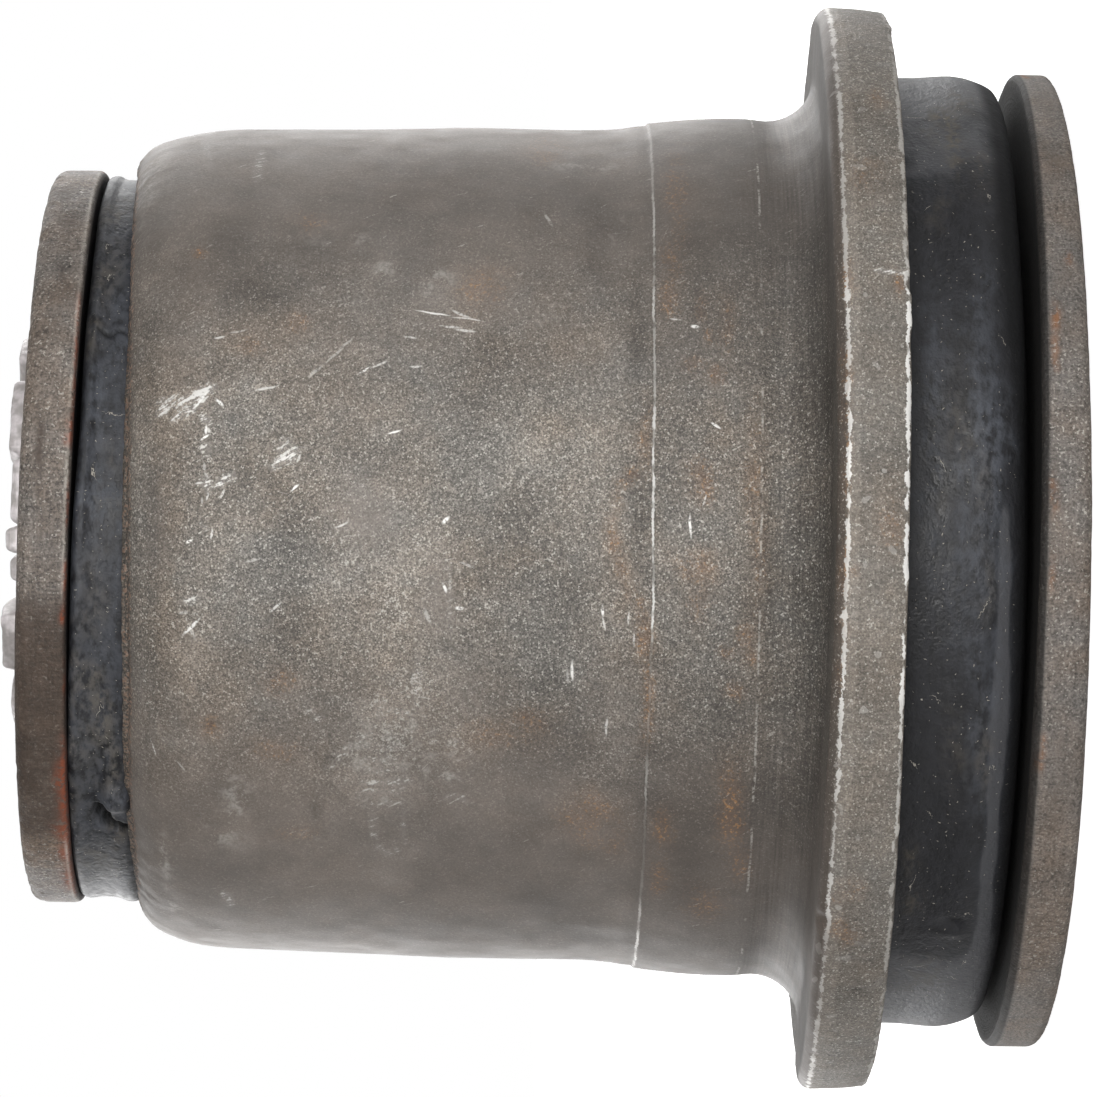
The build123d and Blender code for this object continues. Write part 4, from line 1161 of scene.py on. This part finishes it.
RUST_SMALL = [
    (34.0, 58.4, 1.6, 0.16, 0.6), (28.0, 58.4, 1.4, 0.16, 0.8), (21.0, 58.4, 1.8, 0.2, 0.9), (16.5, 58.4, 1.2, 0.3, 1.0), (4.0, 58.4, 0.9, 0.12, 0.8), (-8.0, 58.4, 1.2, 0.16, 1.0), (-12.0, 58.4, 0.5, 0.2, 1.0), (-22.0, 58.4, 1.2, 0.10, 0.6), (-38.0, 58.4, 2.0, 0.26, 0.9), (-43.0, 58.5, 2.4, 0.46, 1.0), (-47.0, 58.5, 2.0, 0.40, 1.0), (-54.0, 58.55, 2.4, 0.55, 1.0), (-59.0, 58.6, 2.4, 0.62, 1.0), (-66.0, 58.5, 2.6, 0.46, 1.0), (-74.0, 58.4, 1.6, 0.2, 0.8),
    (88.0, 58.5, 2.0, 0.12, 0.7), (120.0, 58.5, 1.6, 0.12, 0.8), (164.0, 58.5, 2.2, 0.12, 0.7), (-152.0, 58.5, 1.8, 0.14, 0.8), (-108.0, 58.5, 2.4, 0.12, 0.8),
]
STAIN_LARGE = [
    (30.0, 1.6, 3.0, 0.9, 0.3), (-25.0, 1.4, 4.0, 0.8, 0.4), (-42.0, 2.2, 3.0, 0.7, 0.3), (52.0, 1.8, 3.0, 0.9, 0.4), (8.0, 2.4, 3.0, 0.4, 0.3), (66.0, 1.5, 3.0, 1.0, 0.4),
    (92.0, 1.6, 5.0, 1.0, 0.5), (125.0, 1.2, 5.0, 0.9, 0.4), (158.0, 1.8, 5.0, 1.0, 0.5), (-172.0, 1.4, 5.0, 1.0, 0.4), (-140.0, 1.6, 5.0, 1.0, 0.5), (-108.0, 1.3, 5.0, 0.9, 0.4), (-78.0, 1.7, 4.0, 1.0, 0.5),
]
RUST_LARGE = [
    (27.0, 2.1, 1.4, 0.3, 0.9), (23.0, 2.2, 1.0, 0.3, 0.6), (7.0, 2.3, 1.0, 0.3, 0.5), (-1.0, 2.3, 0.8, 0.25, 0.5), (-21.5, 2.5, 0.8, 0.3, 1.0), (-19.5, 2.4, 0.5, 0.25, 0.7), (35.0, 1.2, 0.8, 0.3, 0.5),
    (80.0, 2.2, 1.6, 0.4, 0.7), (113.0, 2.0, 1.4, 0.4, 0.8), (146.0, 2.3, 1.8, 0.3, 0.7), (-170.0, 2.1, 1.6, 0.4, 0.8), (-131.0, 2.2, 1.4, 0.4, 0.7), (-92.0, 2.2, 1.6, 0.4, 0.8),
]


# ------------------------------------------------------------------ inner sleeve, staked over the small washer
# lobes: start and sweep from +X in degrees, height above the washer, outer radius
LOBES = [
    (196.0, 20.0, 1.45, 12.50), (229.0, 19.0, 1.70, 12.50), (257.0, 7.0, 1.10, 12.35), (265.0, 7.5, 1.40, 12.50), (273.5, 18.5, 1.12, 12.45), (293.5, 25.0, 1.42, 12.60), (329.0, 15.0, 1.35, 12.60),
    (352.0, 22.0, 1.30, 12.45), (22.0, 17.0, 1.50, 12.55), (46.0, 24.0, 1.20, 12.60), (80.0, 15.0, 1.45, 12.40), (102.0, 26.0, 1.25, 12.55), (136.0, 18.0, 1.50, 12.50), (163.0, 22.0, 1.20, 12.60),
]


def sleeve_profile():
    p = [(8.1, 0.5), (8.25, 0.2), (8.6, 0.0), (9.8, 0.0), (10.9, 0.0), (11.2, 0.3), (11.2, 1.6), (11.2, 3.0), (13.5, 3.0), (13.5, 20.0), (13.5, 40.0), (13.5, 58.3), (11.2, 58.3), (11.2, 59.8), (11.2, 61.3)]
    p += [(11.9, 61.3), (12.22, 61.32), (12.30, 61.40), (12.32, 61.52), (12.32, 61.66), (12.30, 61.80), (12.25, 61.92), (12.15, 62.01), (12.0, 62.05)]
    p += spread([(11.85, 62.05), (9.5, 62.05)], 0.22)
    p += [(9.2, 62.03), (8.9, 61.96), (8.6, 61.78), (8.35, 61.5), (8.18, 61.2), (8.1, 60.8)]
    p += spread([(8.1, 60.0), (8.1, 1.0)], 6.0)
    return p


def make_sleeve(material):
    s = Turned(sleeve_profile(), (480, 420))
    p, z, r, phi = s.points(), s.z0, s.r0, s.phi
    head = smooth(61.31, 61.95, z) * smooth(9.1, 10.0, r)
    out = smooth(61.3, 61.45, z) * smooth(11.3, 12.2, r)
    up = np.zeros_like(z)
    wide = np.zeros_like(z)
    for start, sweep, high, radius in LOBES:
        mid, half = turn(start - 270.0 + sweep / 2), sweep / 2
        d = np.abs(turn(phi - mid)) / half
        plateau = np.clip(1 - np.clip((d - (1 - 2.0 / half)) / (2.0 / half), 0, 1) ** 2, 0, 1) ** 0.5 * (d < 1)
        up = np.maximum(up, plateau * (high - 0.75))
        wide = np.maximum(wide, plateau * (radius - 12.3))
    crown = 1 - 0.35 * smooth(10.8, 9.4, r)
    s.z = s.z + head * up * crown + head * (0.05 * noise(p, 1.4, 101) + 0.03 * noise(p, 0.5, 102)) * (0.3 + up)
    s.r = s.r + out * (wide + 0.05 * noise(p, 1.2, 103)) - out * (1 - smooth(0.02, 0.2, up)) * 0.28
    bore = (r < 8.2) & (z > 0.6) & (z < 60)
    s.r = s.r + bore * 0.0
    s.masks["struck"] = np.clip(head * 1.0 + out, 0, 1)
    return s.mesh("inner_sleeve_skin", material, "inner_sleeve")


# ------------------------------------------------------------------ materials
def shell_material():
    g = Graph("oxidised_shell_steel")
    p = g.pos()
    x, y, z = g.sep(p)
    deg = g.math("ARCTAN2", x, y * -1.0) * (180 / math.pi)
    r = g.vec("LENGTH", g.comb(x, y, 0.0))
    rust, pale, scuff, worn, dark, tone, warm, mid, edge, wu, wz, lift = (g.attr(k) for k in ("rust", "pale", "scuff", "worn", "dark", "tone", "warm", "mid", "edge", "wu", "wz", "lift"))
    # height on the profile, wherever the metal has gone since
    z = z - lift
    fine = g.grain(p, 0.085)
    grit = g.noise(g.vec("ADD", p, (9.0, 4.0, 2.0)), 0.21, 1.0, 0.7)
    coarse = g.noise(g.vec("ADD", p, (5.0, 3.0, 9.0)), 0.75, 0.0)
    cloud = g.noise(g.vec("ADD", p, (1.0, 8.0, 5.0)), 0.95, 1.0, 0.7)
    on_rim = g.math("GREATER_THAN", r, 32.5)

    # bare ground: grey oxide drifting to brown, lighter and darker in clouds
    hue = g.math("MULTIPLY_ADD", coarse - 0.5, 0.4, warm + (mid - 0.5) * 0.3)
    ground = g.mix(hue, lin(121, 117, 111), lin(128, 118, 107))
    ground = g.mix(worn * 0.6, ground, lin(125, 117, 112))
    gain = g.math("MULTIPLY_ADD", tone, 0.46, 1.0)
    # painted shade: the seat, the neck and the fillet are darker
    shade_zone = g.ramp(z / 64.0, SHADE_ZONES)
    gain = gain * g.pick(on_rim, shade_zone, 1.0)
    # fine turned lines in the neck and the fillet
    rings = g.noise(g.comb(x * 0.02, y * 0.02, z), 0.13, 1.0, 0.7)
    neck = g.span(z, 20.0, 17.2) * g.math("LESS_THAN", r, 32.6)
    gain = gain + neck * (rings - 0.5) * 0.6
    # grain
    salt = (fine - 0.5) * 3.4 + (grit - 0.5) * 2.7 + (coarse - 0.5) * 0.5
    gain = gain * g.math("POWER", 1.0 + GRAIN, salt * g.math("MULTIPLY_ADD", worn, -0.86, 1.0) * g.pick(on_rim, 1.0, 0.62))
    # cross-hatch on the sheared rim, with a smoother band by its upper edge
    hatch = g.noise(g.comb(x, y, z * 0.12), 0.14, 1.0, 0.6)
    gain = gain + on_rim * (hatch - 0.5) * 0.6
    band = on_rim * g.span(z + wz * 0.14 + (grit - 0.5) * 0.3, 13.36, 13.46) * g.span(z, 14.2, 14.1)
    gain = gain + band * 0.22
    gain = gain * g.pick(dark, 1.0, 0.42)
    ground = g.scale(ground, gain)

    # rust: a stain with brighter grains in it
    rusty = g.math("MULTIPLY", rust * 1.15, g.span(mid, 0.15, 0.65, 0.35, 1.0), clamp=True)
    ground = g.mix(rusty * g.pick(worn, 0.60, 0.38), ground, lin(128, 90, 58))
    ground = g.mix(g.math("MULTIPLY", rusty * 1.2, g.span(grit, 0.54, 0.68), clamp=True), ground, lin(178, 134, 88))
    # a darker, browner strip on the rolled edge of the flange
    roll = on_rim * g.span(z, 14.24, 14.36)
    ground = g.mix(roll * 0.6, ground, lin(78, 68, 60))

    # bright grains as painted glints, scuffed places and slanting scratches
    light = g.span(fine + grit * 0.8, 1.30, 1.46) * g.pick(worn, 0.6, 0.06)
    few = g.span(mid, 0.45, 0.75)
    smear = g.math("MULTIPLY", g.span(cloud, 0.47, 0.66), pale * 2.2, clamp=True)
    light = g.most(light, smear * g.span(grit, 0.34, 0.60, 0.35, 1.0) * g.span(worn, 0.15, 0.75, 0.0, 0.46))
    u = deg * (26.0 * math.pi / 180)
    along, across = u * 0.5 - z * 0.866, u * 0.866 + z * 0.5 + wu * 0.16
    streak = g.noise(g.comb(along * 0.55, across * 4.6, 0.0), 1.0, 1.0, 0.8)
    light = g.most(light, g.math("MULTIPLY", g.span(streak, 0.68, 0.74), few) * g.span(grit, 0.40, 0.60) * 0.5)
    brushed = g.math("MULTIPLY_ADD", streak - 0.5, 3.2, scuff + (grit - 0.5) * 2.0)
    light = g.most(light, g.math("MULTIPLY_ADD", g.span(brushed, 0.45, 1.05), 0.85, 0.10) * g.span(scuff, 0.05, 0.35) * g.pick(worn, 1.0, 0.62))
    speckled = g.math("MULTIPLY_ADD", grit - 0.5, 2.4, pale * 1.2 + (fine - 0.5) * 0.5)
    light = g.most(light, g.span(speckled, 0.52, 1.05) * g.span(pale, 0.04, 0.15) * g.pick(worn, 0.66, 0.2))
    busy = g.math("MULTIPLY_ADD", pale, 1.3, few * 0.35, clamp=True) * g.span(z, 15.2, 15.6)
    nicks = g.ticks(u + wz * 0.1, z + wu * 0.1, 1.35, 0.42, 0.045, -1.05, 0.8, 0.55)
    light = g.most(light, nicks * busy * g.span(grit, 0.30, 0.52, 0.3, 1.0) * g.pick(worn, 1.0, 0.5))

    # struck scratches, on the near half and turned round on the far half
    far = g.math("GREATER_THAN", g.math("ABSOLUTE", deg), 90.0)
    du = u - far * g.math("SIGN", deg) * (26.0 * math.pi)
    uvw = g.comb(g.math("MULTIPLY_ADD", wu, 0.16, du), g.math("MULTIPLY_ADD", wz, 0.16, g.pick(far, z, 79.0 - z)), 1.0)
    marks = g.strokes(uvw, [(math.radians(a0) * 26.0, z0, math.radians(a1) * 26.0, z1, w + 0.02, k) for a0, z0, a1, z1, w, k in STROKES])
    marks = marks * g.span(grit, 0.32, 0.50, 0.30, 1.0) * g.math("GREATER_THAN", z, 15.2)
    light = g.most(light, marks)

    # worn line along the step with a painted highlight on it, and a fainter one where the seat meets the neck
    near_step = g.math("ABSOLUTE", z - 24.60 - wu * 0.05 + (grit - 0.5) * 0.16)
    step_wear_and_highlight = g.span(near_step, 0.095, 0.035) * g.span(coarse, 0.30, 0.52, 0.45, 1.15) * edge * g.math("LESS_THAN", r, 28.0)
    near_tool = g.math("ABSOLUTE", z - 18.50 - wz * 0.05)
    tool = g.span(near_tool, 0.10, 0.03) * g.span(mid, 0.40, 0.62) * g.span(grit, 0.34, 0.58) * 0.6
    light = g.most(light, step_wear_and_highlight, tool)
    # torn bright edges of the rim: bare metal with a painted highlight where they catch the light
    upper = g.math("ABSOLUTE", z - 14.13 + (grit - 0.5) * 0.40 + wu * 0.07)
    wide = g.math("MULTIPLY_ADD", coarse, 0.44, -0.105)
    torn = g.span(upper, wide, wide * 0.55) * g.span(coarse, 0.26, 0.42, 0.35, 1.0)
    lower = g.math("ABSOLUTE", z - 10.74 - (grit - 0.5) * 0.30)
    torn = g.most(torn, g.span(lower, wide * 0.9, wide * 0.5) * g.span(coarse, 0.34, 0.52, 0.15, 1.4))
    torn = g.math("MULTIPLY", torn * on_rim, edge, clamp=True)
    light = g.most(light, torn)
    tint = g.mix(g.most(g.most(torn, step_wear_and_highlight, marks), scuff * 1.1), lin(203, 199, 191), lin(240, 238, 234))
    colour = g.mix(light, ground, tint)

    # the shell's own lip at the mouth: chips of rust and bare metal
    lip = g.span(z + (grit - 0.5) * 0.5, 55.20, 55.36) * g.math("LESS_THAN", r, 24.5)
    colour = g.mix(lip * g.span(grit, 0.50, 0.62) * 0.7, colour, lin(170, 138, 118))
    colour = g.mix(lip * g.span(grit, 0.52, 0.40) * 0.8, colour, lin(52, 43, 38))
    # painted shade: the underside of the flange is darker
    under = g.span(z, 10.60, 10.56) * g.math("GREATER_THAN", r, 24.0)
    colour = g.mix(under * 0.5, colour, lin(92, 87, 82))

    bare = g.most(marks, step_wear_and_highlight, torn)
    rough = g.pick(bare, g.math("MULTIPLY_ADD", mid, 0.10, 0.50), 0.34)
    metal = g.pick(bare, 0.25, 0.15) * g.pick(rusty, 1.0, 0.3)
    normal = g.height(g.math("MULTIPLY_ADD", grit, g.pick(worn, 1.0, 0.35), mid * 0.3), 0.06, 0.9)
    return g.surface(colour, rough, metal, normal)


def rubber_material():
    g = Graph("bonded_rubber")
    p = g.pos()
    x, y, z = g.sep(p)
    dust, haze_and_sheen_mask, blot, tear_shade, tone, deep = (g.attr(k) for k in ("dust", "haze_and_sheen_mask", "blot", "tear_shade", "tone", "deep"))
    fine = g.noise(p, 0.24, 1.0, 0.6)
    film = g.noise(g.comb(x, y, z * 1.5), 0.75, 3.0, 0.65)
    wipe = g.noise(g.comb(x * 0.7, y * 0.7, z * 1.5), 0.9, 3.0, 0.65)
    base = g.mix(g.span(wipe, 0.30, 0.70), lin(24, 24, 27), lin(36, 36, 40))
    # the tone mask carries random tone with painted reflection, highlight and shade laid in; the base follows it
    # lighter and darker
    base = g.mix(g.span(tone, 0.1, 0.8, 0.0, 0.5), base, lin(44, 46, 51))
    base = g.mix(g.span(tone, 0.6, 1.6, 0.0, 0.95), base, lin(112, 112, 115))
    base = g.mix(g.span(tone, 1.4, 2.1, 0.0, 0.6), base, lin(150, 150, 155))
    base = g.mix(g.span(tone, -0.9, -1.5, 0.0, 0.75), base, lin(12, 12, 13))
    # the bluish film, and painted sheen on the collar, lighten the base
    haze_and_sheen = g.math("MULTIPLY", haze_and_sheen_mask * 1.1, g.span(film * 0.6 + wipe * 0.4, 0.36, 0.60), clamp=True)
    base = g.mix(haze_and_sheen * 0.75, base, lin(90, 94, 102))
    wet = g.math("MULTIPLY", blot * 1.2, g.span(film, 0.60, 0.44), clamp=True)
    base = g.mix(wet * 0.85, base, lin(22, 21, 20))
    dusty = g.math("MULTIPLY", dust * 1.1, g.span(film, 0.36, 0.62), clamp=True)
    base = g.mix(dusty * 0.75, base, lin(118, 109, 94))
    # dust specks, and curled hairs of lint
    u = g.math("ARCTAN2", x, y * -1.0) * 29.2
    speck = g.ticks(u + film * 0.5, z + wipe * 0.5, 0.46, 0.06, 0.034, 0.0, 1.5, 0.26)
    lint = g.ticks(u + film * 1.3, z + wipe * 1.3, 3.6, 0.62, 0.032, 0.3, 1.5, 0.5)
    d2, c2 = g.cells(g.vec("ADD", p, (3.3, 1.1, 7.7)), 0.45, "F1", 1.0)
    speck2 = g.span(d2, 0.12, 0.05) * g.math("GREATER_THAN", g.sep(c2)[2], 0.82) * g.math("MULTIPLY_ADD", dusty, 0.7, 0.3)
    # painted shade: specks are kept out of the shaded places
    open_ = g.pick(deep, 1.0, 0.15)
    base = g.mix(g.most(speck * 0.85, g.most(speck2 * 0.6, lint * 0.85)) * open_, base, lin(186, 180, 168))
    # painted shade: near black in the torn slot, the crack and the gaps beside the washers
    base = g.mix(g.most(tear_shade, deep * 0.85), base, lin(5, 5, 6))
    rough = g.math("MULTIPLY_ADD", film, 0.20, 0.38)
    rough = g.pick(g.most(dusty, tear_shade, deep), rough, 0.8)
    rough = g.pick(haze_and_sheen, rough, 0.55)
    rough = g.pick(wet, rough, 0.24)
    h = fine * 0.8 + film * 1.5 + wipe * 0.5 + g.most(speck, speck2) * 0.5 + tear_shade * fine * 2.0
    normal = g.height(h, 0.06, 0.8)
    return g.surface(base, rough, 0.0, normal, Specular_IOR_Level=0.42)


def washer_material(name, warm_tint, rust_tint, seed):
    g = Graph(name)
    p = g.vec("ADD", g.pos(), (seed, 0.0, 0.0))
    x, y, z = g.sep(g.pos())
    r = g.vec("LENGTH", g.comb(x, y, 0.0))
    stain, rust, face, tone, warm, lines, edge, deep, glint = (g.attr(k) for k in ("stain", "rust", "face", "tone", "warm", "lines", "edge", "deep", "glint"))
    fine = g.noise(p, 0.15, 1.0, 0.6)
    grit = g.noise(g.vec("ADD", p, (9.0, 4.0, 2.0)), 0.38, 2.0, 0.6)
    spark = g.noise(g.vec("ADD", p, (5.0, 3.0, 9.0)), 0.18, 1.0, 0.5)
    axial = g.noise(g.comb(x, y, z * 0.12), 0.14, 1.0, 0.6)
    circ = g.noise(g.comb(x * 0.06, y * 0.06, z), 0.16, 2.0, 0.7)
    base = g.mix(warm, lin(124, 120, 116), lin(130, 113, 98))
    stained = g.math("MULTIPLY", stain * 1.2, g.span(grit, 0.28, 0.56, 0.55, 1.0), clamp=True)
    base = g.mix(stained * 0.86, base, lin(*warm_tint))
    gain = g.math("MULTIPLY_ADD", tone, 0.38, 1.0)
    gain = gain + (g.span(fine, 0.36, 0.64, -0.5, 0.5, "LINEAR") + (grit - 0.5) * 1.6) * g.pick(stained, 0.6, 0.22)
    gain = gain + (axial - 0.5) * g.pick(lines, 0.25, 0.9) + (circ - 0.5) * 0.5
    rings = g.noise(g.comb(r, 0.0, z * 0.2), 0.22, 2.0, 0.7)
    gain = gain * g.math("MULTIPLY_ADD", face * (rings - 0.5), 0.6, 1.0)
    colour = g.scale(base, gain)
    rusty = g.math("MULTIPLY", rust * 1.3, g.span(grit, 0.36, 0.50, 0.2, 1.0), clamp=True)
    colour = g.mix(rusty * 0.8, colour, lin(*rust_tint))
    # painted glints where the glint mask is strong, and a bright edge line: bare steel on the small washer, a painted
    # highlight on the large one
    light = g.most(g.span(spark, g.math("MULTIPLY_ADD", glint, -0.06, 0.62), g.math("MULTIPLY_ADD", glint, -0.04, 0.72)) * g.pick(glint, 0.35, 0.95), g.math("MULTIPLY", edge * 1.3, g.span(grit, 0.36, 0.50, 0.3, 1.0), clamp=True) * 0.8)
    light = light * g.pick(stained, 1.0, 0.2)
    colour = g.mix(light, colour, lin(206, 200, 190))
    # painted shade: near black in the gaps against the rubber
    colour = g.mix(deep, colour, lin(14, 12, 11))
    rough = g.pick(g.most(light, deep), g.math("MULTIPLY_ADD", grit, 0.20, 0.50) + rusty * 0.2, g.pick(deep, 0.34, 0.8))
    metal = g.pick(g.most(rusty, stained, deep), 0.22, 0.0)
    h = fine * 0.8 + grit * g.pick(glint, 1.6, 3.2) + axial * 0.4 + face * rings * 0.8 - stained * 0.5
    normal = g.height(h, 0.065, 0.9)
    return g.surface(colour, rough, metal, normal)


def sleeve_material():
    g = Graph("staked_sleeve_steel")
    p = g.pos()
    x, y, z = g.sep(p)
    struck = g.attr("struck")
    fine = g.noise(p, 0.22, 2.0, 0.6)
    mid = g.noise(p, 1.1, 2.0, 0.6)
    base = g.mix(g.span(mid, 0.36, 0.64), lin(134, 128, 123), lin(122, 112, 102))
    base = g.mix(struck * 0.9, base, g.mix(g.span(mid, 0.34, 0.62), lin(238, 231, 232), lin(186, 180, 178)))
    circ = g.noise(g.comb(x * 0.02, y * 0.02, z), 0.18, 2.0, 0.7)
    colour = g.scale(base, g.math("MULTIPLY_ADD", fine - 0.5, 0.35, 1.0) + (circ - 0.5) * 0.2)
    rough = g.math("MULTIPLY_ADD", mid, 0.2, 0.34)
    h = fine * 0.6 + mid * 1.2 + circ * 0.4
    normal = g.height(h, 0.05, 0.8)
    return g.surface(colour, rough, g.pick(struck, 0.5, 0.2), normal)



# painted shade along the shell's wall: how light the wall is along its length (height over 64 mm, factor)
SHADE_ZONES = [(0.0, 0.7), (14.76 / 64, 0.62), (15.6 / 64, 0.68), (16.6 / 64, 0.78), (18.2 / 64, 0.84), (19.0 / 64, 0.90), (24.2 / 64, 0.92), (24.9 / 64, 0.90), (25.6 / 64, 1.0), (53.0 / 64, 1.0), (54.2 / 64, 0.92), (1.0, 0.9)]
GRAIN = 0.42
AMBIENT = 0.10
AMBIENT_BACK = 0.5
FLOOR_LIT = 0.12
FLOOR_SEEN = 0.92
LIGHTS = [
    ("key", (0.05, -0.62, 0.06), 0.42, 2.9),
    ("over", (0.46, -0.44, 0.08), 0.40, 0.95),
    ("under", (-0.46, -0.42, 0.08), 0.36, 0.45),
    ("back_a", (0.36, 0.60, 0.12), 0.5, 2.8),
    ("back_b", (-0.36, 0.60, 0.12), 0.5, 2.8),
    ("top", (0.0, -0.1, 0.75), 0.6, 1.2),
]

# ------------------------------------------------------------------ pieces
shell = make_shell(shell_material())
rubber = make_rubber(rubber_material())
small = make_small_washer(washer_material("small_washer_steel", (70, 56, 46), (146, 74, 44), 0.0))
large = make_large_washer(washer_material("large_washer_steel", (92, 80, 70), (152, 104, 68), 50.0))
sleeve = make_sleeve(sleeve_material())

# ------------------------------------------------------------------ floor, light
def disc(name, radius):
    me = bpy.data.meshes.new(name)
    n = 64
    me.from_pydata([(radius * math.cos(2 * math.pi * k / n), radius * math.sin(2 * math.pi * k / n), 0.0) for k in range(n)], [], [list(range(n))])
    o = bpy.data.objects.new(name, me)
    scene.collection.objects.link(o)
    return o


floor = disc("floor", 6.0)
floor_g = Graph("pale_floor")
bsdf = floor_g.node("ShaderNodeBsdfDiffuse")
bsdf.inputs["Color"].default_value = (0.86, 0.86, 0.86, 1)
glow = floor_g.node("ShaderNodeEmission")
eye = floor_g.node("ShaderNodeLightPath")
floor_g.put(glow.inputs["Strength"], floor_g.pick(V(floor_g, eye.outputs["Is Camera Ray"]), FLOOR_LIT, FLOOR_SEEN))
add = floor_g.node("ShaderNodeAddShader")
floor_g.t.links.new(bsdf.outputs[0], add.inputs[0])
floor_g.t.links.new(glow.outputs[0], add.inputs[1])
out = floor_g.node("ShaderNodeOutputMaterial")
floor_g.t.links.new(add.outputs[0], out.inputs[0])
floor.data.materials.append(floor_g.mat)

world = bpy.data.worlds.new("studio")
scene.world = world
world.use_nodes = True
wt = world.node_tree
wt.nodes.clear()
wo = wt.nodes.new("ShaderNodeOutputWorld")
lit = wt.nodes.new("ShaderNodeBackground")
lit.inputs["Color"].default_value = (1, 1, 1, 1)
# the sweep behind the part is brighter than the room in front of it
way = wt.nodes.new("ShaderNodeTexCoord")
parts = wt.nodes.new("ShaderNodeSeparateXYZ")
wt.links.new(way.outputs["Generated"], parts.inputs[0])
back = wt.nodes.new("ShaderNodeMapRange")
for s, v in zip(back.inputs, (0.0, 0.1, 0.8, AMBIENT, AMBIENT_BACK)):
    s.default_value = v
wt.links.new(parts.outputs["Y"], back.inputs[0])
wt.links.new(back.outputs[0], lit.inputs["Strength"])
seen = wt.nodes.new("ShaderNodeBackground")
seen.inputs["Color"].default_value = (1, 1, 1, 1)
seen.inputs["Strength"].default_value = 1.0
path = wt.nodes.new("ShaderNodeLightPath")
pick = wt.nodes.new("ShaderNodeMixShader")
wt.links.new(path.outputs["Is Camera Ray"], pick.inputs[0])
wt.links.new(lit.outputs[0], pick.inputs[1])
wt.links.new(seen.outputs[0], pick.inputs[2])
wt.links.new(pick.outputs[0], wo.inputs[0])


def panel(name, at, aim, size, power, colour=(1, 1, 1), size_y=None):
    d = bpy.data.lights.new(name, "AREA")
    d.shape = "RECTANGLE"
    d.size = size
    d.size_y = size_y or size
    d.energy = power
    d.color = colour
    o = bpy.data.objects.new(name, d)
    scene.collection.objects.link(o)
    at, aim = Vector(at), Vector(aim)
    o.matrix_world = Matrix.Translation(at) @ (at - aim).to_track_quat("Z", "Y").to_matrix().to_4x4()
    o.visible_camera = False
    return o


MID = (0.0, 0.0, 0.031)
for name, at, size, power in LIGHTS:
    panel(name, at, MID, size, power)

# ------------------------------------------------------------------ sizes, end
print("tris", {o.name: sum(len(p.vertices) - 2 for p in o.data.polygons) for o in (shell, rubber, small, large, sleeve)})
